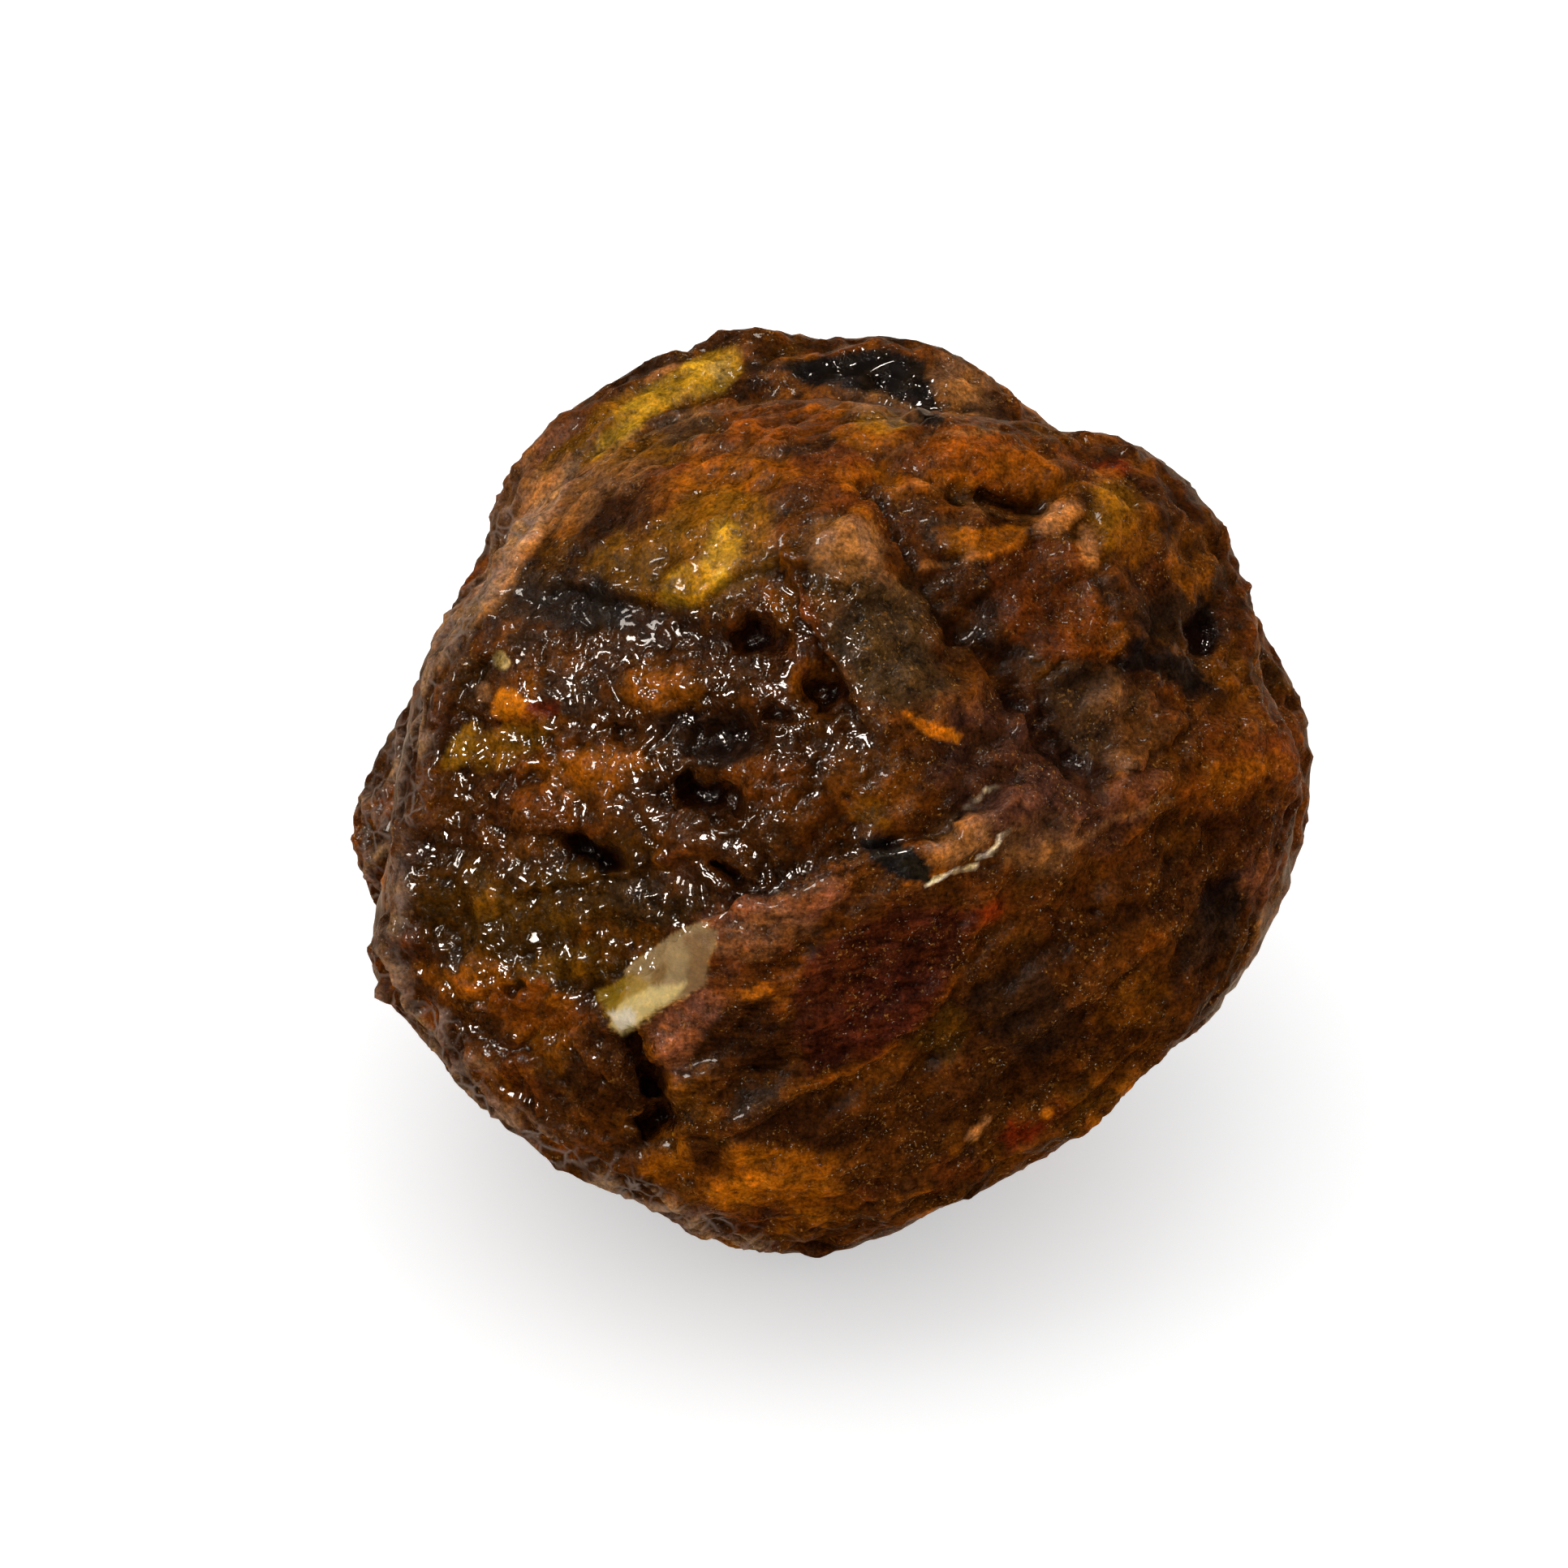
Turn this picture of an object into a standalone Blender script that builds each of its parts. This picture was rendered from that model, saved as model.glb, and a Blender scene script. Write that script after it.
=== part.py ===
"""A lump of raw amber, about 52 mm across, lying on a small worn flat.

The lump is one closed solid. It is shaped in its show frame: x to the right, y up and
z towards whoever looks at its best side, with the heart of the lump at the centre.
SHOW_TILT then lays that frame back so that the lump stands on the floor, +Z up, and
the floor plane cuts its resting flat. Lengths are in millimetres until the mesh is
scaled to metres at the end. The origin is the middle of the lump's box, on the floor.
"""

import math
from typing import NamedTuple

import bmesh
import bpy
from mathutils import Matrix, Vector, noise

MM = 0.001
TINY = 1e-9  # keeps a division safe on a path's own line
NAME = "amber_lump"

# Driving dimensions.
SHOW_TILT = 40.0  # how far above the horizon the best side looks, in degrees
FRONT_DEPTH = 21.0  # heart of the lump to its best side
BACK_DEPTH = 22.0  # heart of the lump to its far side
FLOOR_DROP = 21.3  # heart of the lump to the floor
BOXINESS = 2.4  # 2 gives an ellipsoid, more gives fuller shoulders
GRID = 27  # the skin has GRID x GRID quads on each of six patches
SHARP_ANGLE = 38.0  # edges that turn more than this stay sharp, in degrees

# The outline of the front mass, anticlockwise from the right: x and y.
OUTLINE = (
    (24.8, -1.0),
    (23.6, 2.5),
    (22.3, 6.0),
    (21.9, 10.1),
    (21.3, 12.3),
    (19.5, 15.7),
    (16.3, 18.0),
    (13.8, 18.3),
    (10.7, 19.0),
    (7.5, 19.4),
    (5.0, 19.0),
    (2.0, 20.2),
    (-2.0, 20.4),
    (-6.0, 19.9),
    (-10.0, 18.4),
    (-13.8, 15.7),
    (-16.5, 12.4),
    (-18.6, 9.4),
    (-20.4, 6.3),
    (-21.7, 2.5),
    (-22.6, -1.5),
    (-23.4, -5.5),
    (-24.4, -8.8),
    (-23.4, -11.2),
    (-21.1, -13.5),
    (-18.7, -15.8),
    (-15.9, -18.2),
    (-13.1, -20.1),
    (-10.0, -21.6),
    (-6.2, -23.5),
    (-0.6, -24.4),
    (3.4, -23.3),
    (8.2, -20.7),
    (12.7, -18.1),
    (16.8, -15.1),
    (19.9, -12.5),
    (21.6, -10.2),
    (23.7, -6.0),
)
SOFT_SPAN = 24.0  # degrees over which the outline is evened out away from the rim
SOFT_STEPS = 3  # samples of the outline to either side when it is evened out
RIM_LEAN = 0.32  # how far the outline's own bumps reach from the rim, as a sine


class Flat(NamedTuple):
    """A worn flat. It faces turn degrees round the outline and lean degrees forward."""

    name: str
    turn: float
    lean: float
    reach: float


class Ball(NamedTuple):
    """A ball at x, y, z that swells the lump as a lobe or is scooped out of it."""

    name: str
    x: float
    y: float
    z: float
    radius: float


class Valley(NamedTuple):
    """A valley between two lobes, along a straight line in the show frame."""

    name: str
    start: tuple
    end: tuple
    depth: float
    width: float


class Fold(NamedTuple):
    """A line on the best side: a furrow, or with a negative depth a rib."""

    name: str
    depth: float
    width: float
    path: tuple


class Ledge(NamedTuple):
    """A step on the best side, high on the left of its path and low on its right."""

    name: str
    height: float
    fade: float
    path: tuple


FLATS = (
    Flat("lower right plate", -62, 58, 20.3),
    Flat("right cheek", -8, 50, 21.6),
    Flat("upper right", 38, 40, 21.8),
    Flat("red facet", 38, 68, 19.8),
    Flat("dome brow", 118, 42, 20.6),
    Flat("dome crown", 140, 68, 20.0),
    Flat("left slope", 178, 58, 19.2),
    Flat("lower left slope", -145, 52, 21.2),
    Flat("front foot", -97, 30, 24.2),
    Flat("right foot", -48, 22, 24.4),
    Flat("resting face", -90, -40, 21.9),
    Flat("far side", 80, -72, 20.0),
    Flat("far left", 170, -48, 20.5),
    Flat("far right", 10, -45, 21.5),
    Flat("far top", 95, -30, 25.2),
)
FLAT_BLEND = 2.2
LEAST_FACING = 0.15  # a flat is left out of directions that it faces less than this

LOBES = (
    Ball("left shoulder", -6.8, 11.6, -10.0, 12.5),
    Ball("right shoulder", 3.0, 13.0, -10.0, 11.8),
    Ball("crest", -3.6, 21.0, -9.0, 4.0),
    Ball("left lug", -20.6, -2.2, -8.0, 6.1),
    Ball("left flank", -15.2, 3.6, -6.0, 6.9),
    Ball("right haunch", 17.0, 1.6, -6.5, 9.4),
    Ball("far foot", -1.0, 3.0, -13.0, 11.5),
    Ball("far knee", 9.0, -4.0, -12.0, 10.5),
    Ball("upper right knob", 13.7, 11.0, 4.6, 5.5),
)
LOBE_BLEND = 3.2

# Flats worn across the lobes.
LOBE_FLATS = (
    Flat("shoulder back", 112, -48, 25.0),
    Flat("shoulder top", 124, -26, 25.3),
    Flat("crest back", 78, -44, 24.6),
    Flat("shoulder end", 52, -38, 23.4),
    Flat("far belly", 100, -66, 22.6),
    Flat("knee flat", -15, -52, 21.6),
    Flat("haunch flat", 8, -36, 25.0),
    Flat("lug flat", 184, -38, 25.4),
    Flat("flank flat", 160, -40, 22.2),
)
LOBE_FLAT_BLEND = 1.4

SCOOPS = (
    Ball("pitted dish", -17.0, 3.0, 36.5, 21.0),
    Ball("black hollow", 4.0, 25.6, 3.5, 5.6),
    Ball("right hollow", 24.0, 9.5, 14.5, 5.2),
    Ball("right edge hollow", 27.5, -7.5, 8.5, 5.2),
    Ball("far dish", -9.0, 7.0, -34.0, 15.5),
    Ball("far notch", 13.0, -5.0, -27.0, 9.0),
)
SCOOP_BLEND = 1.6

VALLEYS = (
    Valley("shoulder valley", (-17.5, 12.0, -2.5), (-9.0, 20.5, -1.5), 1.8, 2.6),
    Valley("crest valley", (-9.0, 20.5, -1.5), (4.0, 22.0, -1.0), 1.9, 2.4),
    Valley("brow valley", (4.0, 22.0, -1.0), (13.0, 19.0, -2.0), 1.8, 2.2),
    Valley("lug valley", (-22.0, 1.0, -2.5), (-24.0, -8.0, -3.5), 1.8, 1.6),
    Valley("haunch valley", (23.0, 9.0, -1.0), (25.5, -1.0, 0.5), 1.2, 1.6),
)

FOLDS = (
    Fold("crease", 1.1, 1.6, ((2.6, 14.4), (5.2, 10.3), (7.9, 7.1), (11.6, 2.2))),
    Fold("crease foot", 0.9, 1.5, ((11.6, 2.2), (13.8, 0.9), (16.3, 1.9), (18.5, 2.8))),
    Fold("roof rib", -1.1, 2.6, ((-0.9, 14.2), (-0.9, 10.8), (1.7, 4.7), (5.6, 0.4))),
    Fold("red rib", -0.8, 1.8, ((12.0, 14.2), (14.0, 10.5), (15.0, 6.5))),
    Fold("broad fold", -1.0, 3.0, ((10.0, -1.2), (16.0, 0.0), (23.0, 1.5))),
    Fold("brow crevice", 1.0, 1.6, ((3.0, 15.6), (7.5, 15.2), (11.6, 14.3), (13.5, 16.2))),
    Fold("left ridge", -0.7, 2.2, ((-16.0, 11.5), (-20.0, 4.0), (-21.5, -3.0), (-23.0, -8.0))),
    Fold("foot ridge", -0.6, 2.0, ((-22.4, -12.0), (-16.3, -16.3), (-9.0, -20.4))),
)

LEDGES = (
    Ledge("plate lip", 0.7, 3.0, ((9.0, -0.5), (1.7, -3.6), (-5.2, -6.2), (-12.0, -11.2))),
    Ledge("plate end", 0.8, 2.6, ((-12.0, -11.2), (-9.4, -13.8), (-8.4, -18.5))),
)
LEDGE_SLOPE = 1.5  # the step rises over this much to either side of its line
RIM_FADE = 0.3  # folds and ledges fade out where the skin leans this far back, as a sine

# Worn relief all over: its wavelength and its height.
RELIEF = ((9.0, 0.55), (4.2, 0.35))


def toward(turn, lean):
    """The unit direction turn degrees round the outline and lean degrees forward."""
    turn, lean = math.radians(turn), math.radians(lean)
    rim = math.cos(lean)
    return Vector((rim * math.cos(turn), rim * math.sin(turn), math.sin(lean)))


def soft_min(a, b, blend):
    """The smaller of a and b, rounded where they are within blend of each other."""
    share = max(blend - abs(a - b), 0.0) / blend
    return min(a, b) - share * share * blend / 4


def soft_max(a, b, blend):
    """The larger of a and b, rounded where they are within blend of each other."""
    return -soft_min(-a, -b, blend)


RIM = sorted((math.atan2(y, x), math.hypot(x, y)) for x, y in OUTLINE)


def rim_at(turn):
    """The outline's distance from the heart at this turn, on a curve through its points."""
    turn = (turn + math.pi) % math.tau - math.pi
    after = next((i for i, (angle, _) in enumerate(RIM) if angle > turn), len(RIM))
    knots = [RIM[(after + step) % len(RIM)] for step in (-2, -1, 0, 1)]
    span = (knots[2][0] - knots[1][0]) % math.tau
    t = (turn - knots[1][0]) % math.tau / span
    p0, p1, p2, p3 = (reach for _, reach in knots)
    bend = 2 * p0 - 5 * p1 + 4 * p2 - p3
    swing = 3 * p1 - p0 - 3 * p2 + p3
    return 0.5 * (2 * p1 + (p2 - p0) * t + bend * t**2 + swing * t**3)


def soft_rim_at(turn):
    """The outline's distance evened out over SOFT_SPAN degrees either way."""
    step = math.radians(SOFT_SPAN) / SOFT_STEPS
    samples = [rim_at(turn + step * k) for k in range(-SOFT_STEPS, SOFT_STEPS + 1)]
    return sum(samples) / len(samples)


def body_reach(d):
    """How far the plain body reaches from the heart in direction d."""
    turn = math.atan2(d.y, d.x)
    own = math.exp(-((d.z / RIM_LEAN) ** 2))
    edge = own * rim_at(turn) + (1 - own) * soft_rim_at(turn)
    crown = FRONT_DEPTH if d.z > 0 else BACK_DEPTH
    share = (math.hypot(d.x, d.y) / edge) ** BOXINESS + (abs(d.z) / crown) ** BOXINESS
    return share ** (-1 / BOXINESS)


def crossing(d, ball, far_side):
    """How far along d the ball's skin is met, or None where d misses the ball."""
    centre = Vector((ball.x, ball.y, ball.z))
    along = d.dot(centre)
    inside = along**2 - centre.length_squared + ball.radius**2
    if inside <= 0 or along <= 0:
        return None
    return along + math.sqrt(inside) if far_side else along - math.sqrt(inside)


def nearest(path, x, y):
    """The distance from x, y to a path, and its side: 1 to the left and -1 to the right.

    Past an end of the path the side swings evenly from 1 through 0 to -1.
    """
    found = []
    for (ax, ay), (bx, by) in zip(path, path[1:]):
        ux, uy = bx - ax, by - ay
        t = ((x - ax) * ux + (y - ay) * uy) / (ux * ux + uy * uy)
        t = min(max(t, 0.0), 1.0)
        gx, gy = x - ax - t * ux, y - ay - t * uy
        gap = math.hypot(gx, gy)
        side = (ux * gy - uy * gx) / (math.hypot(ux, uy) * gap + TINY)
        found.append((gap, side))
    return min(found)


def valley_cut(here):
    """How much the valleys between the lobes take off at a point of the skin."""
    cut = 0.0
    for valley in VALLEYS:
        start, end = Vector(valley.start), Vector(valley.end)
        run = end - start
        t = (here - start).dot(run) / run.length_squared
        gap = (here - start.lerp(end, min(max(t, 0.0), 1.0))).length
        cut += valley.depth * math.exp(-((gap / valley.width) ** 2))
    return cut


def best_side_relief(here, lean):
    """What the folds and ledges of the best side add at a point of the skin."""
    added = 0.0
    for fold in FOLDS:
        gap, _ = nearest(fold.path, here.x, here.y)
        added -= fold.depth * math.exp(-((gap / fold.width) ** 2))
    for ledge in LEDGES:
        gap, side = nearest(ledge.path, here.x, here.y)
        step = side * min(gap / LEDGE_SLOPE, 1.0)
        added += ledge.height * step * math.exp(-gap / ledge.fade)
    return added * min(lean / RIM_FADE, 1.0)


def wear(reach, d, flats, blend):
    """The reach in direction d once these flats are worn across the skin."""
    for flat in flats:
        facing = d.dot(toward(flat.turn, flat.lean))
        if facing > LEAST_FACING:
            reach = soft_min(reach, flat.reach / facing, blend)
    return reach


def reach_of(d):
    """How far the lump reaches from its heart in direction d."""
    reach = wear(body_reach(d), d, FLATS, FLAT_BLEND)
    for ball in LOBES:
        skin = crossing(d, ball, far_side=True)
        if skin is not None:
            reach = soft_max(reach, skin, LOBE_BLEND)
    reach = wear(reach, d, LOBE_FLATS, LOBE_FLAT_BLEND)
    for ball in SCOOPS:
        skin = crossing(d, ball, far_side=False)
        if skin is not None:
            reach = soft_min(reach, skin, SCOOP_BLEND)
    here = d * reach
    reach -= valley_cut(here)
    if d.z > 0:
        reach += best_side_relief(here, d.z)
    return reach + sum(noise.noise(here / wave) * high for wave, high in RELIEF)


def shape_skin(bm):
    """A ball of even quads, each vertex moved out to the lump's skin."""
    bmesh.ops.create_cube(bm, size=2.0)
    bmesh.ops.subdivide_edges(bm, edges=bm.edges, cuts=GRID - 1, use_grid_fill=True)
    for vert in bm.verts:
        d = Vector([math.tan(c * math.pi / 4) for c in vert.co]).normalized()
        vert.co = d * reach_of(d)


def stand_on_floor(bm):
    """Lays the best side back, cuts the resting flat and closes it."""
    bm.transform(Matrix.Rotation(math.radians(90 - SHOW_TILT), 4, "X"))
    bmesh.ops.translate(bm, verts=bm.verts, vec=(0, 0, FLOOR_DROP))
    geom = bm.verts[:] + bm.edges[:] + bm.faces[:]
    bmesh.ops.bisect_plane(bm, geom=geom, plane_no=(0, 0, -1), clear_outer=True)
    rim = [edge for edge in bm.edges if edge.is_boundary]
    for vert in {vert for edge in rim for vert in edge.verts}:
        vert.co.z = 0
    bmesh.ops.contextual_create(bm, geom=rim)
    bmesh.ops.recalc_face_normals(bm, faces=bm.faces)


def centre_on_box(bm):
    """Moves the middle of the lump's box to x = y = 0 and turns the units to metres."""
    for axis in (0, 1):
        side = [vert.co[axis] for vert in bm.verts]
        middle = (min(side) + max(side)) / 2
        for vert in bm.verts:
            vert.co[axis] -= middle
    bmesh.ops.scale(bm, verts=bm.verts, vec=(MM, MM, MM))


def amber_material():
    """Wet-looking dark amber brown that lets a little light through."""
    material = bpy.data.materials.new("amber")
    material.use_nodes = True
    shader = material.node_tree.nodes["Principled BSDF"]
    shader.inputs["Base Color"].default_value = (0.19, 0.09, 0.025, 1)
    shader.inputs["Metallic"].default_value = 0.0
    shader.inputs["Roughness"].default_value = 0.3
    shader.inputs["IOR"].default_value = 1.54
    shader.inputs["Transmission Weight"].default_value = 0.2
    return material


def build_lump():
    """The amber lump as one object."""
    bm = bmesh.new()
    shape_skin(bm)
    stand_on_floor(bm)
    centre_on_box(bm)
    mesh = bpy.data.meshes.new(NAME)
    bm.to_mesh(mesh)
    bm.free()
    mesh.shade_smooth()
    mesh.set_sharp_from_angle(angle=math.radians(SHARP_ANGLE))
    mesh.materials.append(amber_material())
    lump = bpy.data.objects.new(NAME, mesh)
    bpy.context.scene.collection.objects.link(lump)
    return lump


for leftover in list(bpy.data.objects):
    bpy.data.objects.remove(leftover)
build_lump()
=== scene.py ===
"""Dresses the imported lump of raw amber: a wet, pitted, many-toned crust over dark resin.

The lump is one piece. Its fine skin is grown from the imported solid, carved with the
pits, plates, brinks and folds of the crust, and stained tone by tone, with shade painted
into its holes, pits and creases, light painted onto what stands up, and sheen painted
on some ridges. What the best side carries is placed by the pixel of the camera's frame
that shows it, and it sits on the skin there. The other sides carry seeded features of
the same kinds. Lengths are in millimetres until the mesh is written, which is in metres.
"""

import logging
import math
import random
from dataclasses import dataclass
from enum import Enum

import bmesh
import bpy
import numpy as np
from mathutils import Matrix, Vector, noise


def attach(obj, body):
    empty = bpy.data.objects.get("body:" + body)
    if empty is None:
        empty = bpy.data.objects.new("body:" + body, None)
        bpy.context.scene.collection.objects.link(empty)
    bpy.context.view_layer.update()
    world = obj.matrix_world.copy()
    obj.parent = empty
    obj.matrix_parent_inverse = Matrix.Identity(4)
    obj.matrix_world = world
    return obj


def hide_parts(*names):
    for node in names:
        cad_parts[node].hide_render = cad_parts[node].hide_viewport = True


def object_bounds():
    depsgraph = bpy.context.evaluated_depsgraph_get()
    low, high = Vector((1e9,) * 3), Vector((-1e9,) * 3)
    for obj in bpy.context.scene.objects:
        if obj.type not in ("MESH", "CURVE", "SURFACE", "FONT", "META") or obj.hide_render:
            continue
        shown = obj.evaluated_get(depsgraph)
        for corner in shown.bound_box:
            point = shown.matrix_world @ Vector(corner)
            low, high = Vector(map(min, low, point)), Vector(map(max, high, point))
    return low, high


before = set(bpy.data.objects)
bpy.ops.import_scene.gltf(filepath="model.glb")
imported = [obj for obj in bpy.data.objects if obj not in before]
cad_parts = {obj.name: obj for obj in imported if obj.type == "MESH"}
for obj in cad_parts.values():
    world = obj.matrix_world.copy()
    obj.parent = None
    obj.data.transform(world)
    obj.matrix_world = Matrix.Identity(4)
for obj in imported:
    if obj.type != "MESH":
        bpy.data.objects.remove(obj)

LOG = logging.getLogger("raw_amber")
MM = 0.001
NODE = "amber_lump"
SKIN = "amber_skin"
TONE_LAYER = "crust_tone"
FINISH_LAYER = "crust_finish"

CAD_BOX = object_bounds()


# ---------------------------------------------------------------- the best side's view


@dataclass(frozen=True)
class ShowView:
    """How the best side is looked at: from the front and above, through a long lens.

    Attributes:
        heart: The heart of the lump, in millimetres.
        elevation: How far above the horizon the best side looks, in degrees.
        frame_side: Pixels along each side of the camera's frame.
        heart_px: Pixel column that shows the heart.
        heart_py: Pixel row that shows the heart.
        pixel: What one pixel spans at the heart, in millimetres.
        lens: Focal length of the lens, in millimetres.
        sensor: Side of the sensor, in millimetres.
    """

    heart: tuple[float, float, float] = (-0.19, -0.87, 21.3)
    elevation: float = 40.0
    frame_side: int = 1932
    heart_px: float = 1020.0
    heart_py: float = 970.0
    pixel: float = 0.043
    lens: float = 120.0
    sensor: float = 36.0

    @property
    def right(self) -> np.ndarray:
        """The direction of the frame's right."""
        return np.array((1.0, 0.0, 0.0))

    @property
    def back(self) -> np.ndarray:
        """The direction from the lump to the camera."""
        tilt = math.radians(self.elevation)
        return np.array((0.0, -math.cos(tilt), math.sin(tilt)))

    @property
    def up(self) -> np.ndarray:
        """The direction of the frame's top."""
        tilt = math.radians(self.elevation)
        return np.array((0.0, math.sin(tilt), math.cos(tilt)))

    @property
    def place(self) -> np.ndarray:
        """Where the camera stands, in millimetres."""
        middle = self.frame_side / 2
        across = (middle - self.heart_px) * self.pixel
        rise = (self.heart_py - middle) * self.pixel
        distance = middle * self.pixel * self.lens / (self.sensor / 2)
        aim = np.array(self.heart) + self.right * across + self.up * rise
        return aim + self.back * distance

    def see(self, points: np.ndarray) -> tuple[np.ndarray, np.ndarray]:
        """Finds the pixels that show some points.

        Args:
            points: Rows of x, y, z in millimetres.

        Returns:
            Pixel columns and pixel rows, one of each per point.
        """
        away = points - self.place
        depth = -away @ self.back
        focal = self.lens / self.sensor * self.frame_side
        middle = self.frame_side / 2
        return middle + focal * (away @ self.right) / depth, middle - focal * (away @ self.up) / depth

    def facing(self, points: np.ndarray, normals: np.ndarray) -> np.ndarray:
        """Says how squarely the skin faces the camera.

        Args:
            points: Rows of x, y, z in millimetres.
            normals: The skin's outward direction at each point.

        Returns:
            1 where the skin looks straight at the camera, and under 0 where it looks away.
        """
        toward = self.place - points
        toward /= np.linalg.norm(toward, axis=1)[:, None]
        return (toward * normals).sum(axis=1)


VIEW = ShowView()


# ---------------------------------------------------------------- tones of the crust


class Tone(Enum):
    """Tones of the crust and of the resin that it lets through, with a near-black for painted shade and a
    pale film that is partly painted sheen, as linear colour.
    """

    UMBER = (0.082, 0.025, 0.003)
    DARK_UMBER = (0.028, 0.009, 0.002)
    BLACK = (0.008, 0.007, 0.007)
    CHARCOAL = (0.022, 0.012, 0.007)
    OLIVE = (0.17, 0.072, 0.002)
    DARK_OLIVE = (0.052, 0.021, 0.001)
    MUSTARD = (0.42, 0.25, 0.014)
    YELLOW_GREEN = (0.36, 0.18, 0.006)
    HONEY = (0.23, 0.072, 0.002)
    ORANGE = (0.52, 0.16, 0.004)
    RUST = (0.17, 0.044, 0.002)
    BRICK = (0.100, 0.025, 0.004)
    MAROON = (0.042, 0.0085, 0.004)
    PLUM = (0.058, 0.022, 0.013)
    PINK_BROWN = (0.15, 0.052, 0.024)
    GREY_GREEN = (0.050, 0.029, 0.013)
    TAN = (0.21, 0.100, 0.038)
    PALE_TAN = (0.42, 0.28, 0.125)
    PEACH = (0.42, 0.18, 0.058)
    CREAM = (0.78, 0.60, 0.24)
    MINERAL = (0.92, 0.82, 0.66)
    # pale film on ridges, partly painted sheen
    FILM_AND_SHEEN = (0.36, 0.25, 0.19)
    # near-black painted shade for holes, pits, creases and step feet
    PAINTED_SHADE = (0.006, 0.0015, 0.0008)
    RUBY = (0.16, 0.014, 0.002)

    @property
    def rgb(self) -> np.ndarray:
        """The tone as three numbers."""
        return np.array(self.value)


(
    UMBER, DARK_UMBER, BLACK, CHARCOAL, OLIVE, DARK_OLIVE, MUSTARD, YELLOW_GREEN, HONEY, ORANGE,
    RUST, BRICK, MAROON, PLUM, PINK_BROWN, GREY_GREEN, TAN, PALE_TAN, PEACH, CREAM, MINERAL, FILM_AND_SHEEN,
    PAINTED_SHADE, RUBY,
) = Tone


# ---------------------------------------------------------------- features of the skin


@dataclass(frozen=True)
class Patch:
    """A stain, a window of clearer resin, a crumb or painted shade on the best side.

    Attributes:
        tone: Its tone.
        px: Pixel column of its middle.
        py: Pixel row of its middle.
        wide: Half its width, in millimetres.
        tall: Half its height, in millimetres.
        turn: How far its width is turned up from the horizontal, in degrees.
        strength: 1 covers what is under it, and less lets that show.
        ragged: How far its edge wanders, in millimetres.
        soft: Share of its size over which its edge fades.
    """

    tone: Tone
    px: float
    py: float
    wide: float
    tall: float
    turn: float = 0.0
    strength: float = 0.85
    ragged: float = 0.7
    soft: float = 0.5


@dataclass(frozen=True)
class Plot:
    """A patch with an outline of its own: corners are pixels of the frame, in order.

    Attributes:
        tone: Its tone.
        corners: Its outline.
        strength: 1 covers what is under it, and less lets that show.
        soft: How wide its edge is, in millimetres.
        ragged: How far its edge wanders, in millimetres.
    """

    tone: Tone
    corners: tuple[tuple[float, float], ...]
    strength: float = 0.9
    soft: float = 0.3
    ragged: float = 0.25

    def share(self, px: np.ndarray, py: np.ndarray) -> np.ndarray:
        """Says how much of the plot covers each pixel, 0 to 1."""
        return inside(px, py, self.corners, self.soft)


@dataclass(frozen=True)
class Swell:
    """A soft rise of the best side, or with a negative height a dip, in millimetres."""

    px: float
    py: float
    wide: float
    tall: float
    turn: float
    height: float


@dataclass(frozen=True)
class Streak:
    """A line of a tone along a path of pixels on the best side."""

    tone: Tone
    width: float
    path: tuple[tuple[float, float], ...]
    strength: float = 0.85
    ragged: float = 0.25


@dataclass(frozen=True)
class Hole:
    """A hollow that sinks into the best side, with shade painted into it: depth and half-sizes in
    millimetres.
    """

    px: float
    py: float
    wide: float
    tall: float
    turn: float
    depth: float
    dark: float = 1.0
    ragged: float = 0.5


@dataclass(frozen=True)
class Brink:
    """A crisp step, high on the left of its path of pixels as it is walked.

    A negative height stands high on the right. Shade is painted at its foot, as strong as its shade.
    """

    height: float
    slope: float
    fade: float
    path: tuple[tuple[float, float], ...]
    shade: float = 0.5


@dataclass(frozen=True)
class Groove:
    """A narrow furrow along a path of pixels, or with a negative depth a fine rib; its dark paints shade
    along it.
    """

    depth: float
    width: float
    path: tuple[tuple[float, float], ...]
    dark: float = 0.0


@dataclass(frozen=True)
class Zone:
    """A stretch of the best side inside an outline of pixels, soft at its edge."""

    soft: float
    corners: tuple[tuple[float, float], ...]

    def share(self, px: np.ndarray, py: np.ndarray) -> np.ndarray:
        """Says how far inside the zone each pixel is, 0 to 1."""
        return inside(px, py, self.corners, self.soft)


def rows(kind: type, *values: tuple) -> tuple:
    """Makes a feature of one kind from each row of values.

    Args:
        kind: The feature's class.
        *values: The features' fields, one row for each.

    Returns:
        The features.
    """
    return tuple(kind(*row) for row in values)


WET_DISH = Zone(1.1, (
    (668, 640), (720, 590), (800, 572), (880, 600), (950, 640), (985, 690), (1062, 700),
    (1070, 880), (1075, 960), (1052, 1035), (1060, 1060), (905, 1112), (800, 1192), (742, 1238),
    (792, 1266), (822, 1392), (752, 1432), (640, 1366), (548, 1262), (500, 1170), (520, 1050),
    (540, 930), (575, 840), (620, 750),
))
SPONGE = Zone(0.8, (
    (620, 790), (700, 775), (800, 765), (900, 750), (985, 720), (1062, 720),
) + WET_DISH.corners[7:-1])
NET_RIM = Zone(1.0, ((440, 1165), (500, 1180), (560, 1270), (650, 1370), (760, 1436), (880, 1490),
                     (960, 1545), (700, 1560), (420, 1300)))
LEFT_FLANK = Zone(1.2, ((400, 1165), (400, 880), (520, 720), (640, 560), (668, 640), (600, 750),
                        (548, 880), (512, 1050), (490, 1165)))
BLACK_GRIT = Zone(0.8, ((590, 700), (690, 690), (760, 730), (850, 765), (960, 760), (950, 800), (800, 806),
                        (690, 800), (590, 790)))
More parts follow.
